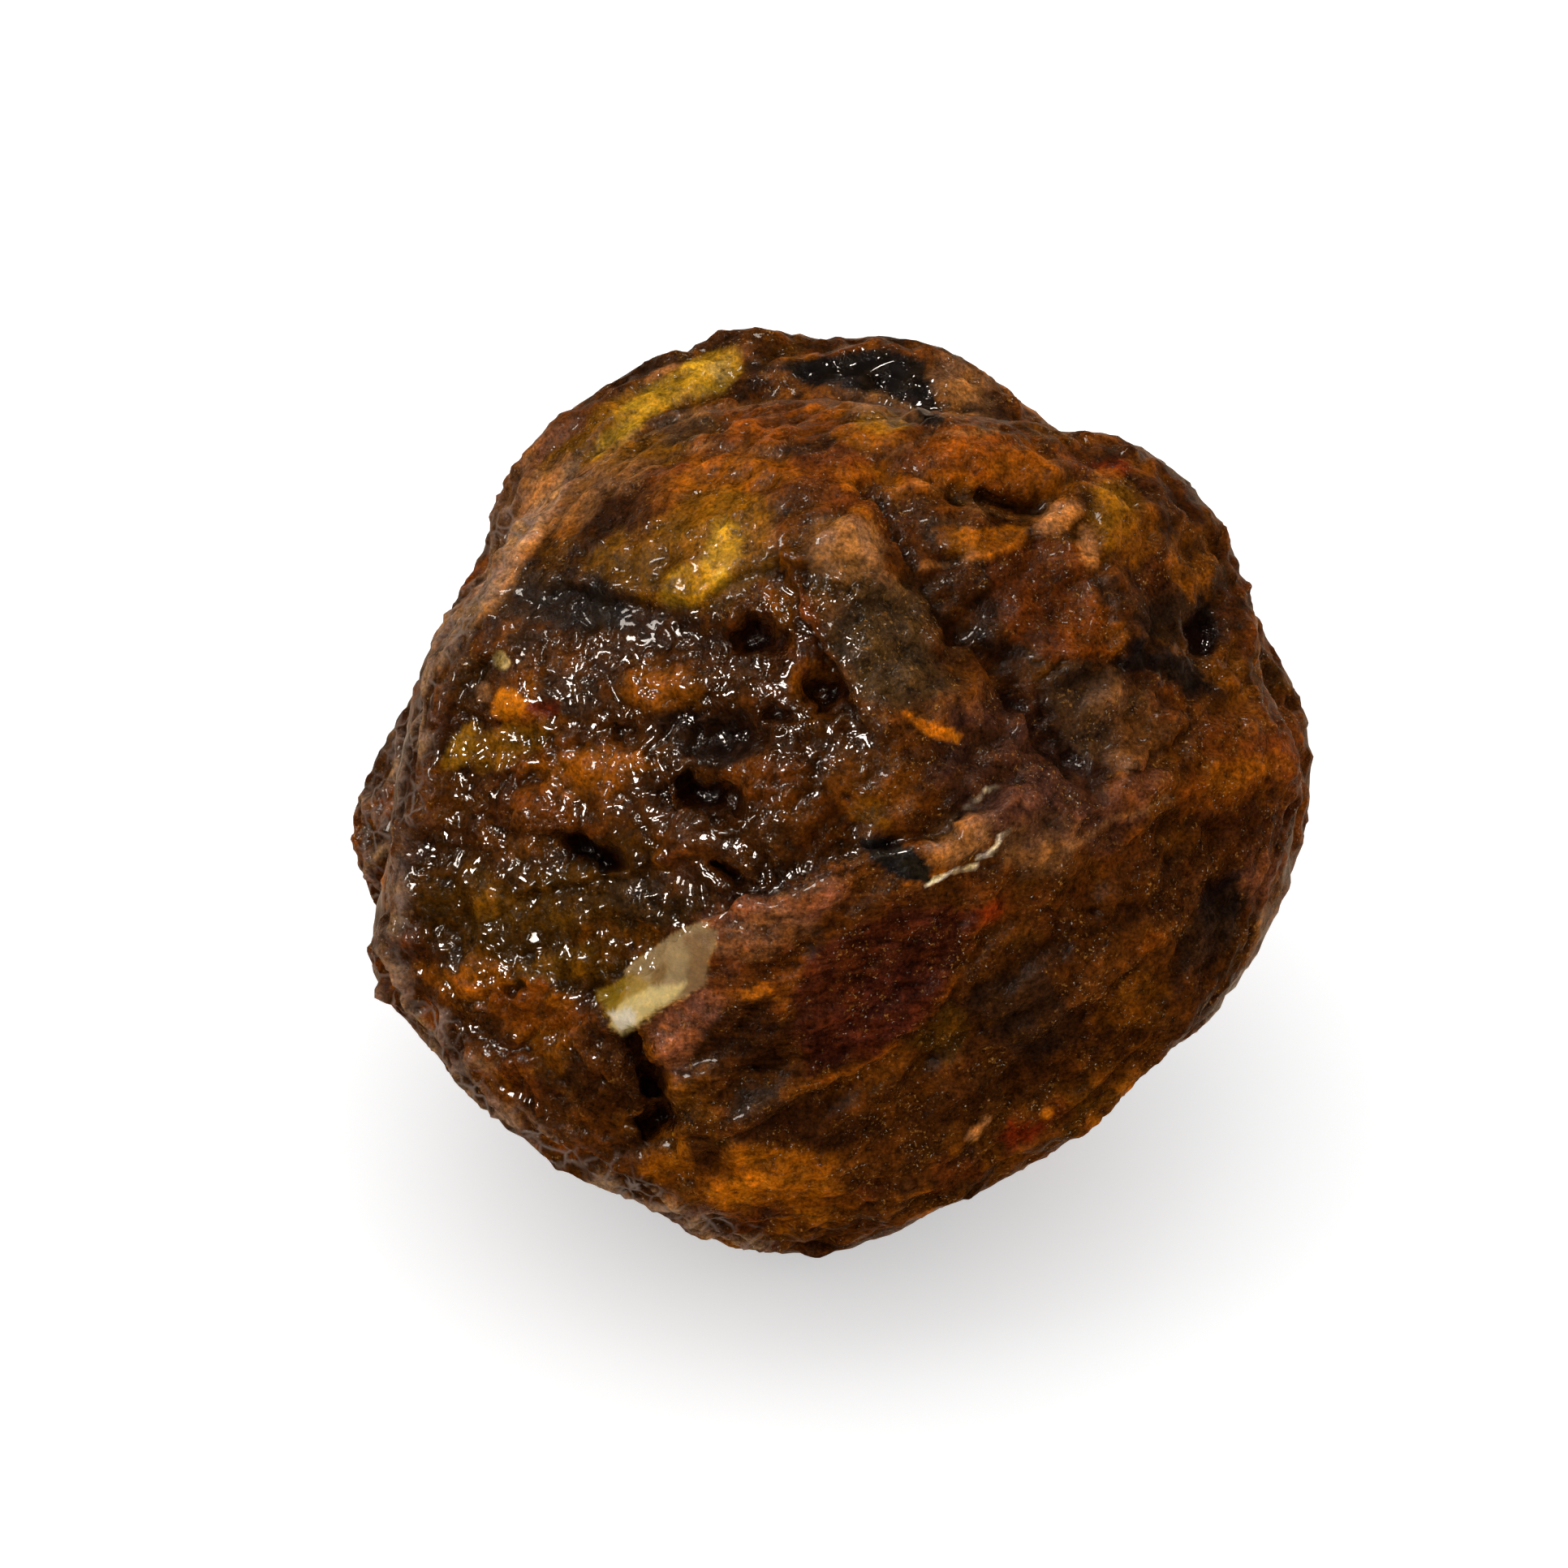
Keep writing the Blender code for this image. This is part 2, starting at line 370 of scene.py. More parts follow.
WET_SPOTS = (
    Zone(0.5, ((960, 450), (1010, 438), (1080, 428), (1135, 445), (1160, 515), (1110, 500), (1060, 480))),
    Zone(0.6, ((1430, 770), (1500, 755), (1512, 830), (1462, 862), (1425, 842))),
    Zone(0.5, ((1060, 1345), (1110, 1320), (1150, 1340), (1100, 1375))),
    Zone(0.3, ((1056, 1036), (1090, 1030), (1120, 1042), (1152, 1068), (1148, 1086), (1110, 1082))),
    Zone(0.3, ((1240, 1400), (1262, 1380), (1295, 1365), (1290, 1392), (1262, 1410))),
)
RIGHT_RIM = Zone(1.5, ((1380, 540), (1440, 600), (1490, 760), (1560, 870), (1590, 960), (1560, 1120),
                       (1480, 1240), (1560, 1330), (1720, 1200), (1720, 600), (1500, 500)))
CREST_RIM = Zone(1.2, ((620, 640), (700, 520), (820, 440), (940, 425), (1000, 440), (1140, 440),
                       (1250, 520), (1330, 560), (1330, 380), (600, 380)))
PLATE = Zone(1.0, ((905, 1112), (1062, 1062), (1150, 1085), (1240, 1040), (1240, 1100), (1200, 1170),
                   (1147, 1249), (1084, 1304), (1000, 1342), (900, 1395), (830, 1395), (812, 1320),
                   (792, 1262), (740, 1238), (800, 1192)))

HOLES = rows(
    Hole,
    (936, 786, 1.5, 1, -15, 1.5), (872, 980, 1.7, 1.25, -24, 2), (845, 962, 1, 0.8, 30, 1.3, 0.8),
    (900, 908, 2.2, 1.2, 10, 0.8, 0.45), (722, 1046, 1.7, 0.55, -22, 1.3),
    (752, 1062, 1, 0.5, -30, 1.6), (1012, 852, 1.3, 1.5, 10, 1.5, 0.9),
    (960, 880, 0.9, 0.7, 10, 0.9, 0.8), (808, 1378, 1.15, 0.9, 20, 2.3),
    (804, 1330, 1.6, 0.65, -72, 1.6, 0.85), (784, 1290, 1.2, 0.7, -50, 1, 0.75),
    (896, 1074, 1.6, 0.6, -42, 1.1, 0.75), (1252, 622, 2.2, 0.5, -8, 1, 0.8, 0.3),
    (1343, 1119, 0.55, 0.5, 0, 0.7, 0.8, 0.3), (1384, 1114, 0.75, 0.42, -20, 0.6, 0.7, 0.3),
    (560, 1140, 1, 1.7, 10, 0.5, 0.4), (635, 1215, 0.8, 0.5, 0, 0.7, 0.6),
    (655, 960, 0.8, 0.6, 0, 0.7, 0.6), (770, 905, 0.9, 0.5, 20, 0.7, 0.6),
    (445, 960, 0.8, 1.1, 20, 0.7, 0.7), (462, 1105, 0.7, 1, 0, 0.7, 0.7),
    (1478, 790, 0.9, 1.5, -15, 0.7, 0.7), (1500, 1098, 1.6, 1, 40, 0.5, 0.4),
)

SWELLS = rows(
    Swell,
    (872, 640, 5.2, 3, 8, 0.55), (752, 762, 4.2, 1.6, -14, -0.5), (862, 795, 4.4, 1.5, -8, -0.5),
    (806, 852, 2.3, 1.4, -8, 0.5), (700, 852, 1.9, 1.5, 0, 0.45), (628, 872, 1.6, 1.1, 0, 0.35),
    (738, 945, 3.2, 1.3, 4, 0.5), (885, 905, 2.8, 1.3, -8, -0.6), (955, 940, 2, 1.7, 0, 0.5),
    (950, 1015, 2.2, 1.4, 0, 0.3), (650, 1000, 2.4, 1.6, 0, 0.4), (700, 1052, 3.4, 1, -16, -0.6),
    (835, 1030, 2, 1.6, 0, 0.55), (606, 1115, 1.8, 2, 0, 0.3), (795, 1112, 2.4, 1.2, -20, 0.45),
    (700, 1160, 3.2, 1.1, 4, -0.3), (640, 1230, 3.2, 1.2, -14, 0.35), (745, 1320, 2, 2.2, 10, 0.3),
    (1030, 670, 2.6, 1.6, -24, 0.35), (1092, 790, 3.2, 4.2, 24, 0.3), (1030, 840, 1.6, 2.2, 0, -0.5),
    (1100, 950, 3, 2.2, 0, 0.3), (1205, 566, 4.4, 1.5, -4, 0.55), (1200, 620, 3.4, 0.9, -14, -0.4),
    (1350, 622, 1.8, 2.6, 10, 0.6), (1285, 735, 2.6, 3.2, -20, -0.35), (1380, 780, 1.4, 2, -20, 0.25),
    (1436, 822, 2.6, 1.6, -30, -0.6), (1482, 780, 0.9, 1.8, -10, -0.6), (1520, 800, 1, 2.8, -16, 0.45),
    (1375, 880, 2.9, 2, -24, -0.2), (1405, 975, 4.4, 1.3, 32, 0.5), (1330, 1065, 4.6, 1.4, 22, -0.3),
    (1545, 935, 2.4, 1.4, 10, 0.45), (1195, 1035, 2, 1, 30, -0.25), (1512, 1115, 2.4, 1.4, 45, -0.45),
    (1340, 1180, 3.8, 1.4, 34, 0.25), (1290, 1260, 3.6, 1.2, 38, -0.25),
    (1440, 1250, 3.4, 0.9, 38, 0.28), (1395, 1300, 3.4, 0.8, 38, -0.28),
    (1350, 1350, 3, 0.8, 38, 0.22), (970, 1445, 4, 1.8, 4, 0.3), (1095, 1345, 3.4, 1.3, 14, -0.2),
    (872, 466, 2.4, 1.1, 16, 0.3), (1090, 476, 3.2, 1.1, -24, -0.55), (1090, 520, 2.4, 1, -10, 0.4),
    (950, 480, 3.4, 0.7, 4, -0.35), (935, 412, 2, 0.8, 0, 0.35), (505, 960, 1.4, 3.4, -14, -0.4),
    (480, 1170, 1.4, 0.9, 0, 0.35),
)

BRINKS = (
    Brink(0.85, 0.15, 1.8, ((1230, 985), (1165, 1035), (1062, 1056), (905, 1110), (800, 1190),
        (742, 1236)), 0.8),
    Brink(0.85, 0.20, 1.2, ((788, 1260), (808, 1320), (830, 1395)), 0.9),
    Brink(-0.4, 0.20, 1.0, ((1236, 1098), (1202, 1169), (1147, 1249), (1084, 1304), (1000, 1342),
        (905, 1390)), 0.5),
    Brink(0.5, 0.22, 1.2, ((1045, 636), (990, 668), (960, 700), (985, 745), (1020, 800),
        (1055, 880)), 0.8),
    Brink(0.4, 0.20, 1.0, ((1310, 812), (1286, 855), (1300, 905), (1345, 948), (1400, 948),
        (1462, 895)), 0.7),
    Brink(0.3, 0.20, 0.9, ((1345, 648), (1360, 700), (1375, 770), (1390, 830)), 0.4),
    Brink(-0.5, 0.25, 1.1, ((1126, 588), (1180, 612), (1250, 632), (1320, 615)), 0.7),
    Brink(0.35, 0.20, 0.8, ((1143, 650), (1170, 684), (1215, 692), (1275, 668)), 0.4),
    Brink(0.45, 0.25, 1.0, ((960, 484), (1040, 484), (1100, 496), (1150, 530)), 0.8),
    Brink(0.4, 0.22, 1.0, ((700, 720), (760, 735), (850, 742), (905, 715), (950, 690)), 0.4),
    Brink(0.35, 0.22, 0.9, ((960, 700), (1010, 716), (1060, 738), (1090, 735)), 0.4),
    Brink(-0.35, 0.22, 0.9, ((1160, 1000), (1210, 940), (1245, 900), (1260, 872)), 0.3),
    Brink(0.4, 0.22, 0.9, ((640, 1100), (700, 1088), (790, 1078), (860, 1050)), 0.3),
    Brink(-0.4, 0.22, 0.9, ((590, 1290), (650, 1300), (710, 1270), (745, 1240)), 0.3),
    Brink(0.3, 0.20, 0.7, ((745, 1262), (770, 1282), (800, 1250), (870, 1215)), 0.0),
)

GROOVES = (
    Groove(0.6, 0.24, ((1062, 592), (1090, 640), (1130, 715), (1180, 780), (1222, 822),
        (1262, 868)), 0.75),
    Groove(0.55, 0.24, ((1262, 868), (1290, 920), (1330, 958), (1375, 965)), 0.75),
    Groove(0.4, 0.20, ((1306, 815), (1284, 858), (1298, 908), (1342, 950)), 0.6),
    Groove(0.3, 0.20, ((1310, 812), (1370, 808), (1420, 838), (1465, 880)), 0.5),
    Groove(0.4, 0.18, ((985, 672), (1000, 700), (990, 735)), 0.8),
    Groove(0.3, 0.20, ((1128, 590), (1190, 622), (1262, 640)), 0.6),
    Groove(0.35, 0.20, ((880, 1062), (925, 1100), (985, 1092), (1050, 1072)), 0.8),
    Groove(0.45, 0.24, ((1195, 775), (1230, 812), (1252, 842)), 0.8),
    Groove(0.25, 0.20, ((1395, 760), (1420, 800), (1470, 860)), 0.5),
    Groove(0.2, 0.16, ((1150, 520), (1120, 560), (1095, 590)), 0.4),
    Groove(0.25, 0.18, ((1270, 668), (1300, 700), (1345, 760)), 0.4),
    Groove(0.25, 0.18, ((800, 1192), (845, 1205), (870, 1180)), 0.1),
    Groove(0.25, 0.20, ((980, 905), (1010, 960), (1060, 1040)), 0.5),
    Groove(0.25, 0.20, ((830, 880), (800, 930), (820, 985)), 0.5),
    Groove(-0.3, 0.24, ((700, 602), (760, 545), (830, 512), (900, 500), (985, 490))),
    Groove(-0.25, 0.20, ((720, 620), (790, 572), (870, 548), (960, 560), (1040, 570), (1110, 540))),
    Groove(-0.2, 0.18, ((800, 600), (880, 580), (960, 590), (1010, 560))),
    Groove(-0.2, 0.18, ((860, 520), (930, 530), (1000, 548), (1060, 545))),
    Groove(-0.4, 0.80, ((655, 662), (610, 735), (570, 800), (548, 860), (530, 930), (512, 1010),
        (500, 1080))),
    Groove(-0.25, 0.20, ((1095, 560), (1150, 535), (1230, 530), (1330, 560))),
    Groove(-0.25, 0.24, ((1335, 1010), (1400, 965), (1455, 935), (1530, 945))),
    Groove(-0.2, 0.20, ((1380, 1040), (1440, 990), (1500, 970))),
    Groove(-0.3, 0.30, ((1528, 740), (1534, 830), (1568, 912), (1596, 990))),
    Groove(-0.3, 0.28, ((470, 1210), (520, 1250), (600, 1330), (700, 1395), (800, 1448), (900, 1490))),
)

PATCHES = rows(
    Patch,
    # broad ground
    (DARK_UMBER, 560, 1000, 3, 9, -12, 0.7), (UMBER, 800, 900, 8, 5.5, 0, 0.6),
    (UMBER, 1150, 1150, 16, 11, 20, 0.55), (DARK_UMBER, 1290, 1250, 7, 3.6, 35, 0.7),
    (BRICK, 1545, 960, 3.6, 4.6, 0, 0.55), (DARK_UMBER, 1460, 700, 3.2, 7, 18, 0.65),
    (UMBER, 1090, 950, 4.2, 3.6, 0, 0.8), (PLUM, 1250, 940, 4.5, 4, -40, 0.8),
    (DARK_OLIVE, 700, 1140, 8, 3.6, -8, 0.9), (DARK_UMBER, 620, 1330, 9, 2.6, -34, 0.5),
    (DARK_UMBER, 920, 880, 3.4, 3.6, 0, 0.65), (DARK_UMBER, 845, 1000, 2.4, 2.2, 0, 0.6),
    (DARK_UMBER, 1075, 930, 2.6, 3.4, 0, 0.55), (DARK_UMBER, 1010, 1395, 3.4, 1.7, 0, 0.6),
    (DARK_UMBER, 1240, 740, 2.2, 4.2, 20, 0.55), (DARK_UMBER, 745, 830, 3.4, 4.4, 0, 0.55),
    (DARK_UMBER, 1520, 1040, 3.4, 3.6, 0, 0.5), (DARK_UMBER, 1450, 1220, 4.6, 2.6, 36, 0.65),
    (DARK_UMBER, 1190, 1370, 4.6, 1.6, 24, 0.5),
    (DARK_UMBER, 1180, 1200, 3.6, 2.4, 30, 0.45), (BRICK, 900, 1160, 4.2, 2.2, 20, 0.6),
    # (TAN, 690, 585) lightens the top of the left flank: tan crust, partly painted sheen
    (PINK_BROWN, 900, 1150, 3.6, 1.8, 20, 0.5), (TAN, 690, 585, 3.8, 2.4, 38, 0.7),
    # back lobe and dome ridge
    (MUSTARD, 835, 476, 1.8, 0.55, 20, 0.75, 0.3), (OLIVE, 768, 510, 2.9, 1, 32, 0.95, 0.4),
    # (PINK_BROWN, 690, 560) is pinkish-tan crust, partly painted sheen
    (PEACH, 815, 462, 1.1, 0.5, 25, 0.6, 0.3), (PINK_BROWN, 690, 560, 1.3, 2.6, -32, 0.65),
    (DARK_UMBER, 905, 425, 2.4, 0.8, 0, 0.8), (UMBER, 1075, 420, 3.6, 0.8, 0, 0.6),
    (DARK_UMBER, 940, 478, 2.8, 0.5, 5, 0.8, 0.3), (TAN, 1185, 478, 1.9, 1.5, -30, 0.6),
    (DARK_UMBER, 1232, 480, 0.8, 1.8, 32, 0.6), (RUST, 960, 516, 3.4, 1.2, -4, 0.75),
    (ORANGE, 1020, 500, 1.3, 0.6, -8, 0.35, 0.4),
    (GREY_GREEN, 848, 524, 1.9, 0.75, 12, 0.8, 0.3),
    (HONEY, 1072, 536, 1.8, 0.7, -4, 0.9, 0.25, 0.4), (OLIVE, 790, 560, 2.4, 0.9, 16, 0.8),
    (HONEY, 905, 585, 3.6, 0.9, 4, 0.7), (RUST, 1020, 590, 2, 1, 0, 0.45),
    # dome
    (HONEY, 860, 640, 3.6, 2, 0, 0.6), (DARK_UMBER, 768, 632, 2.3, 1.2, 14, 0.9),
    (OLIVE, 905, 652, 2.1, 1.6, 30, 0.95, 0.5), (MUSTARD, 893, 668, 1, 1.3, 24, 0.45, 0.5),
    (PEACH, 941, 662, 0.75, 0.7, 0, 0.65, 0.3), (OLIVE, 770, 698, 2.3, 1.3, 0, 0.8),
    (YELLOW_GREEN, 848, 716, 1.3, 0.9, 34, 0.95, 0.4),
    (DARK_UMBER, 838, 668, 1.5, 0.9, -20, 0.55), (CHARCOAL, 708, 742, 3.4, 1.7, -14, 0.9),
    (BLACK, 745, 752, 1.5, 0.9, -20, 0.75), (DARK_UMBER, 835, 782, 2.6, 1.4, 0, 0.7),
    # upper right
    (RUST, 1205, 568, 4.6, 1.7, -4, 0.9), (ORANGE, 1165, 598, 1.5, 0.7, -14, 0.35, 0.4),
    (HONEY, 1260, 575, 2.2, 1.1, 0, 0.4), (PEACH, 1304, 634, 1.3, 0.65, 20, 0.75, 0.3),
    (PEACH, 1340, 675, 0.5, 1.2, 12, 0.6, 0.3), (RUBY, 1368, 577, 1, 0.5, 0, 0.5, 0.3),
    (ORANGE, 1362, 588, 0.9, 0.5, 0, 0.4, 0.3), (OLIVE, 1372, 632, 1.3, 1.8, 0, 0.85, 0.4),
    (HONEY, 1400, 660, 1.2, 1.6, 0, 0.5), (GREY_GREEN, 1160, 655, 1, 0.8, 0, 0.8, 0.3),
    (YELLOW_GREEN, 1186, 668, 0.9, 0.6, -12, 0.7, 0.2),
    (DARK_UMBER, 1222, 745, 1.3, 2.6, 30, 0.8), (ORANGE, 1362, 785, 0.9, 1.2, -30, 0.4, 0.4),
    (RUST, 1340, 770, 1.7, 1.7, -24, 0.6), (BLACK, 1226, 790, 1.3, 0.5, -36, 0.9, 0.3),
    (CHARCOAL, 1440, 760, 1.8, 1.4, 0, 0.7), (BLACK, 1432, 828, 2.2, 1.2, -28, 0.9),
    (BLACK, 1485, 775, 0.9, 1.5, -10, 0.8, 0.4),
    # middle plate
    (TAN, 1040, 672, 2.1, 1.5, -24, 0.75, 0.3), (UMBER, 1120, 700, 1.6, 2.4, 24, 0.6),
    (GREY_GREEN, 1092, 782, 3, 2.9, -32, 0.9), (CHARCOAL, 1150, 850, 1.9, 1.5, -30, 0.6),
    (DARK_UMBER, 1170, 800, 1.1, 2.6, 35, 0.5), (HONEY, 1030, 742, 1, 0.8, 0, 0.6, 0.4),
    (RUST, 1035, 830, 1, 0.9, 0, 0.5, 0.4), (HONEY, 1070, 965, 2.6, 1.9, 0, 0.3),
    (OLIVE, 1075, 1004, 1.1, 0.9, 0, 0.5), (RUST, 1020, 1010, 1.9, 1.2, 20, 0.5),
    (CHARCOAL, 1330, 850, 1.6, 1.5, 0, 0.7), (TAN, 1370, 885, 2.8, 2.2, -20, 0.65),
    (HONEY, 1410, 905, 1.6, 1.2, -20, 0.5, 0.8, 0.5),
    (GREY_GREEN, 1340, 890, 1.6, 1.4, -20, 0.35),
    # (PINK_BROWN, 1385, 985) and the next row's plum lie along a fold: pinkish crust, partly painted sheen
    (RUST, 1438, 868, 0.9, 1.1, -20, 0.75, 0.3), (PINK_BROWN, 1385, 985, 2.6, 1.2, 34, 0.45),
    (PLUM, 1350, 1010, 1.8, 1.8, 30, 0.6), (RUST, 1500, 975, 2.6, 1, 14, 0.5),
    (HONEY, 1520, 955, 1.9, 0.8, 10, 0.5),
    # wet dish
    (HONEY, 812, 848, 2.1, 1.3, -8, 0.65),
    (ORANGE, 628, 868, 0.95, 0.8, 10, 0.95, 0.3, 0.35),
    (RUBY, 668, 873, 0.9, 0.5, -8, 0.8, 0.3), (RUST, 652, 885, 0.8, 0.5, 0, 0.7, 0.3),
    (CREAM, 619, 815, 0.42, 0.55, 20, 0.55, 0.2), (TAN, 596, 852, 0.5, 0.5, 0, 0.7, 0.2),
    (YELLOW_GREEN, 568, 922, 0.7, 1.4, -34, 0.65, 0.3),
    (OLIVE, 625, 918, 2, 1.1, 24, 0.85, 0.5), (CHARCOAL, 702, 856, 1.6, 1.2, 0, 0.75),
    (BLACK, 868, 908, 2.9, 1.3, -12, 0.7), (HONEY, 720, 952, 3, 1.3, 4, 0.65),
    (ORANGE, 788, 938, 0.9, 0.5, -10, 0.3, 0.3), (RUST, 690, 1000, 2.5, 1, -20, 0.5),
    # the second row, at 730, 1056, paints shade into the slit hole
    (DARK_UMBER, 640, 1050, 2.4, 1.6, 0, 0.6), (PAINTED_SHADE, 730, 1056, 1.6, 0.8, -22, 0.7, 0.4),
    (DARK_UMBER, 960, 1010, 3, 2.4, 0, 0.55), (RUST, 945, 960, 2.2, 1.3, 0, 0.4),
    (OLIVE, 640, 1120, 2.8, 1, -10, 0.4), (GREY_GREEN, 800, 1112, 2.1, 1.1, -26, 0.6),
    (OLIVE, 700, 1192, 2.8, 0.9, 10, 0.55), (DARK_OLIVE, 560, 1140, 1, 1.6, 10, 0.8),
    (RUST, 640, 1235, 3.6, 1, -12, 0.75), (HONEY, 600, 1200, 1.6, 0.9, 0, 0.5),
    (ORANGE, 690, 1232, 0.8, 0.35, 0, 0.35, 0.2), (DARK_UMBER, 748, 1318, 2, 2.4, 14, 0.8),
    # lower-left and left rims
    (HONEY, 560, 1215, 2.2, 0.9, -28, 0.5), (UMBER, 700, 1400, 4, 0.9, -26, 0.6),
    (RUST, 432, 1030, 0.8, 2, 5, 0.7), (RUST, 460, 1070, 0.7, 1.6, 0, 0.5),
    (CHARCOAL, 462, 1165, 0.8, 0.6, 0, 0.6, 0.3),
    # lower right plate
    (PINK_BROWN, 845, 1262, 2.1, 1.3, 64, 0.8, 0.4),
    (PINK_BROWN, 960, 1116, 3.6, 1.1, 14, 0.8, 0.5), (BRICK, 925, 1160, 2.9, 1.4, 18, 0.85),
    (RUST, 1000, 1210, 2.2, 1.4, 20, 0.5), (ORANGE, 935, 1222, 1, 0.3, 24, 0.5, 0.3),
    (MAROON, 1100, 1120, 2.2, 1.1, 24, 0.5), (DARK_UMBER, 915, 1280, 2.6, 1.7, 14, 0.85),
    (CHARCOAL, 932, 1362, 1.3, 1, 0, 0.85, 0.4), (RUBY, 1205, 1128, 1.6, 0.7, 30, 0.55, 0.4),
    (RUST, 1190, 1150, 1.4, 0.9, 40, 0.5), (CHARCOAL, 985, 1095, 2.2, 0.4, 10, 0.7, 0.2),
    (TAN, 1185, 1028, 2.2, 1.1, 32, 0.55, 0.4), (TAN, 1282, 1042, 2, 1.6, 20, 0.5),
    (CHARCOAL, 1265, 1245, 2.7, 2.2, -30, 0.6), (DARK_OLIVE, 1165, 1272, 1.6, 1.3, 30, 0.8),
    (UMBER, 1390, 1190, 3.4, 2.2, 30, 0.6), (RUST, 1420, 1165, 1.4, 0.6, 30, 0.45),
    (BLACK, 1512, 1108, 1.8, 1.1, 42, 0.85, 0.5), (CHARCOAL, 1490, 1160, 1.9, 1.2, 50, 0.7),
    (TAN, 1566, 1135, 0.6, 2.6, -18, 0.7, 0.3), (HONEY, 1545, 1190, 0.6, 1.6, -20, 0.5, 0.3),
    (DARK_UMBER, 1420, 1290, 3.2, 1.2, 34, 0.6), (UMBER, 1110, 1352, 3, 1.4, 10, 0.6),
    (HONEY, 950, 1450, 3.4, 1.7, 8, 0.85, 0.7, 0.8),
    (ORANGE, 915, 1462, 1.6, 0.9, 8, 0.3, 0.9, 0.8), (HONEY, 1010, 1490, 2, 1, 4, 0.4),
    # broad darker and lighter patches, then a few small marks
    (DARK_UMBER, 835, 668, 2.2, 1.3, -10, 0.6, 0.9),
    (DARK_UMBER, 1235, 712, 1.8, 4, 25, 0.5, 0.9),
    (DARK_UMBER, 590, 770, 1, 1.8, -30, 0.6, 0.9),
    (DARK_UMBER, 520, 920, 1.4, 2.2, -15, 0.6, 0.9),
    (DARK_UMBER, 1020, 915, 3, 1.8, 0, 0.55, 0.9),
    (DARK_UMBER, 690, 1005, 2.2, 1.2, 0, 0.55, 0.9),
    (DARK_UMBER, 870, 1015, 3.8, 1.6, 0, 0.5, 0.9),
    (DARK_UMBER, 900, 1080, 4.6, 1, 8, 0.5, 0.9),
    (DARK_UMBER, 1440, 1085, 4.2, 1.8, 30, 0.6, 0.9),
    (MAROON, 1100, 1240, 3.6, 1.6, 35, 0.75, 0.9),
    (DARK_UMBER, 1490, 1250, 2.6, 1.8, 45, 0.6, 0.9),
    (DARK_UMBER, 990, 1392, 4.6, 1.2, 2, 0.7, 0.9),
    (DARK_UMBER, 850, 1300, 1, 1.8, 10, 0.5, 0.9),
    (DARK_UMBER, 1235, 1405, 2.6, 0.8, 34, 0.55, 0.9),
    (DARK_UMBER, 1060, 1500, 4, 0.8, 20, 0.5, 0.9),
    (TAN, 1185, 470, 1.8, 1.2, -30, 0.35, 0.9), (HONEY, 1000, 478, 2.6, 0.6, -5, 0.5, 0.9),
    (TAN, 765, 590, 1.8, 0.9, 25, 0.4, 0.9), (ORANGE, 1070, 592, 1.8, 0.9, 0, 0.3, 0.9),
    (HONEY, 1470, 690, 1.2, 2, 20, 0.45, 0.9), (HONEY, 1000, 838, 1.2, 1, 0, 0.5, 0.9),
    (RUST, 1410, 850, 1.6, 0.9, -20, 0.5, 0.9), (HONEY, 760, 1158, 2, 1, 0, 0.5, 0.9),
    (TAN, 935, 1150, 3, 1.2, 18, 0.4, 0.9), (PINK_BROWN, 1560, 1085, 1.2, 2, -10, 0.5, 0.9),
    (HONEY, 1395, 1240, 2, 1.2, 35, 0.45, 0.9), (BRICK, 1268, 1390, 1.9, 0.9, 38, 0.7, 0.9),
    (RUBY, 1264, 1396, 1.2, 0.45, 38, 0.6, 0.8),
    (ORANGE, 1285, 1372, 0.35, 0.25, 38, 0.6, 0.5),
    (PEACH, 1205, 1392, 0.62, 0.28, 55, 0.75, 0.5, 0.6),
    (PEACH, 1195, 1404, 0.5, 0.22, 10, 0.6, 0.5, 0.6),
)

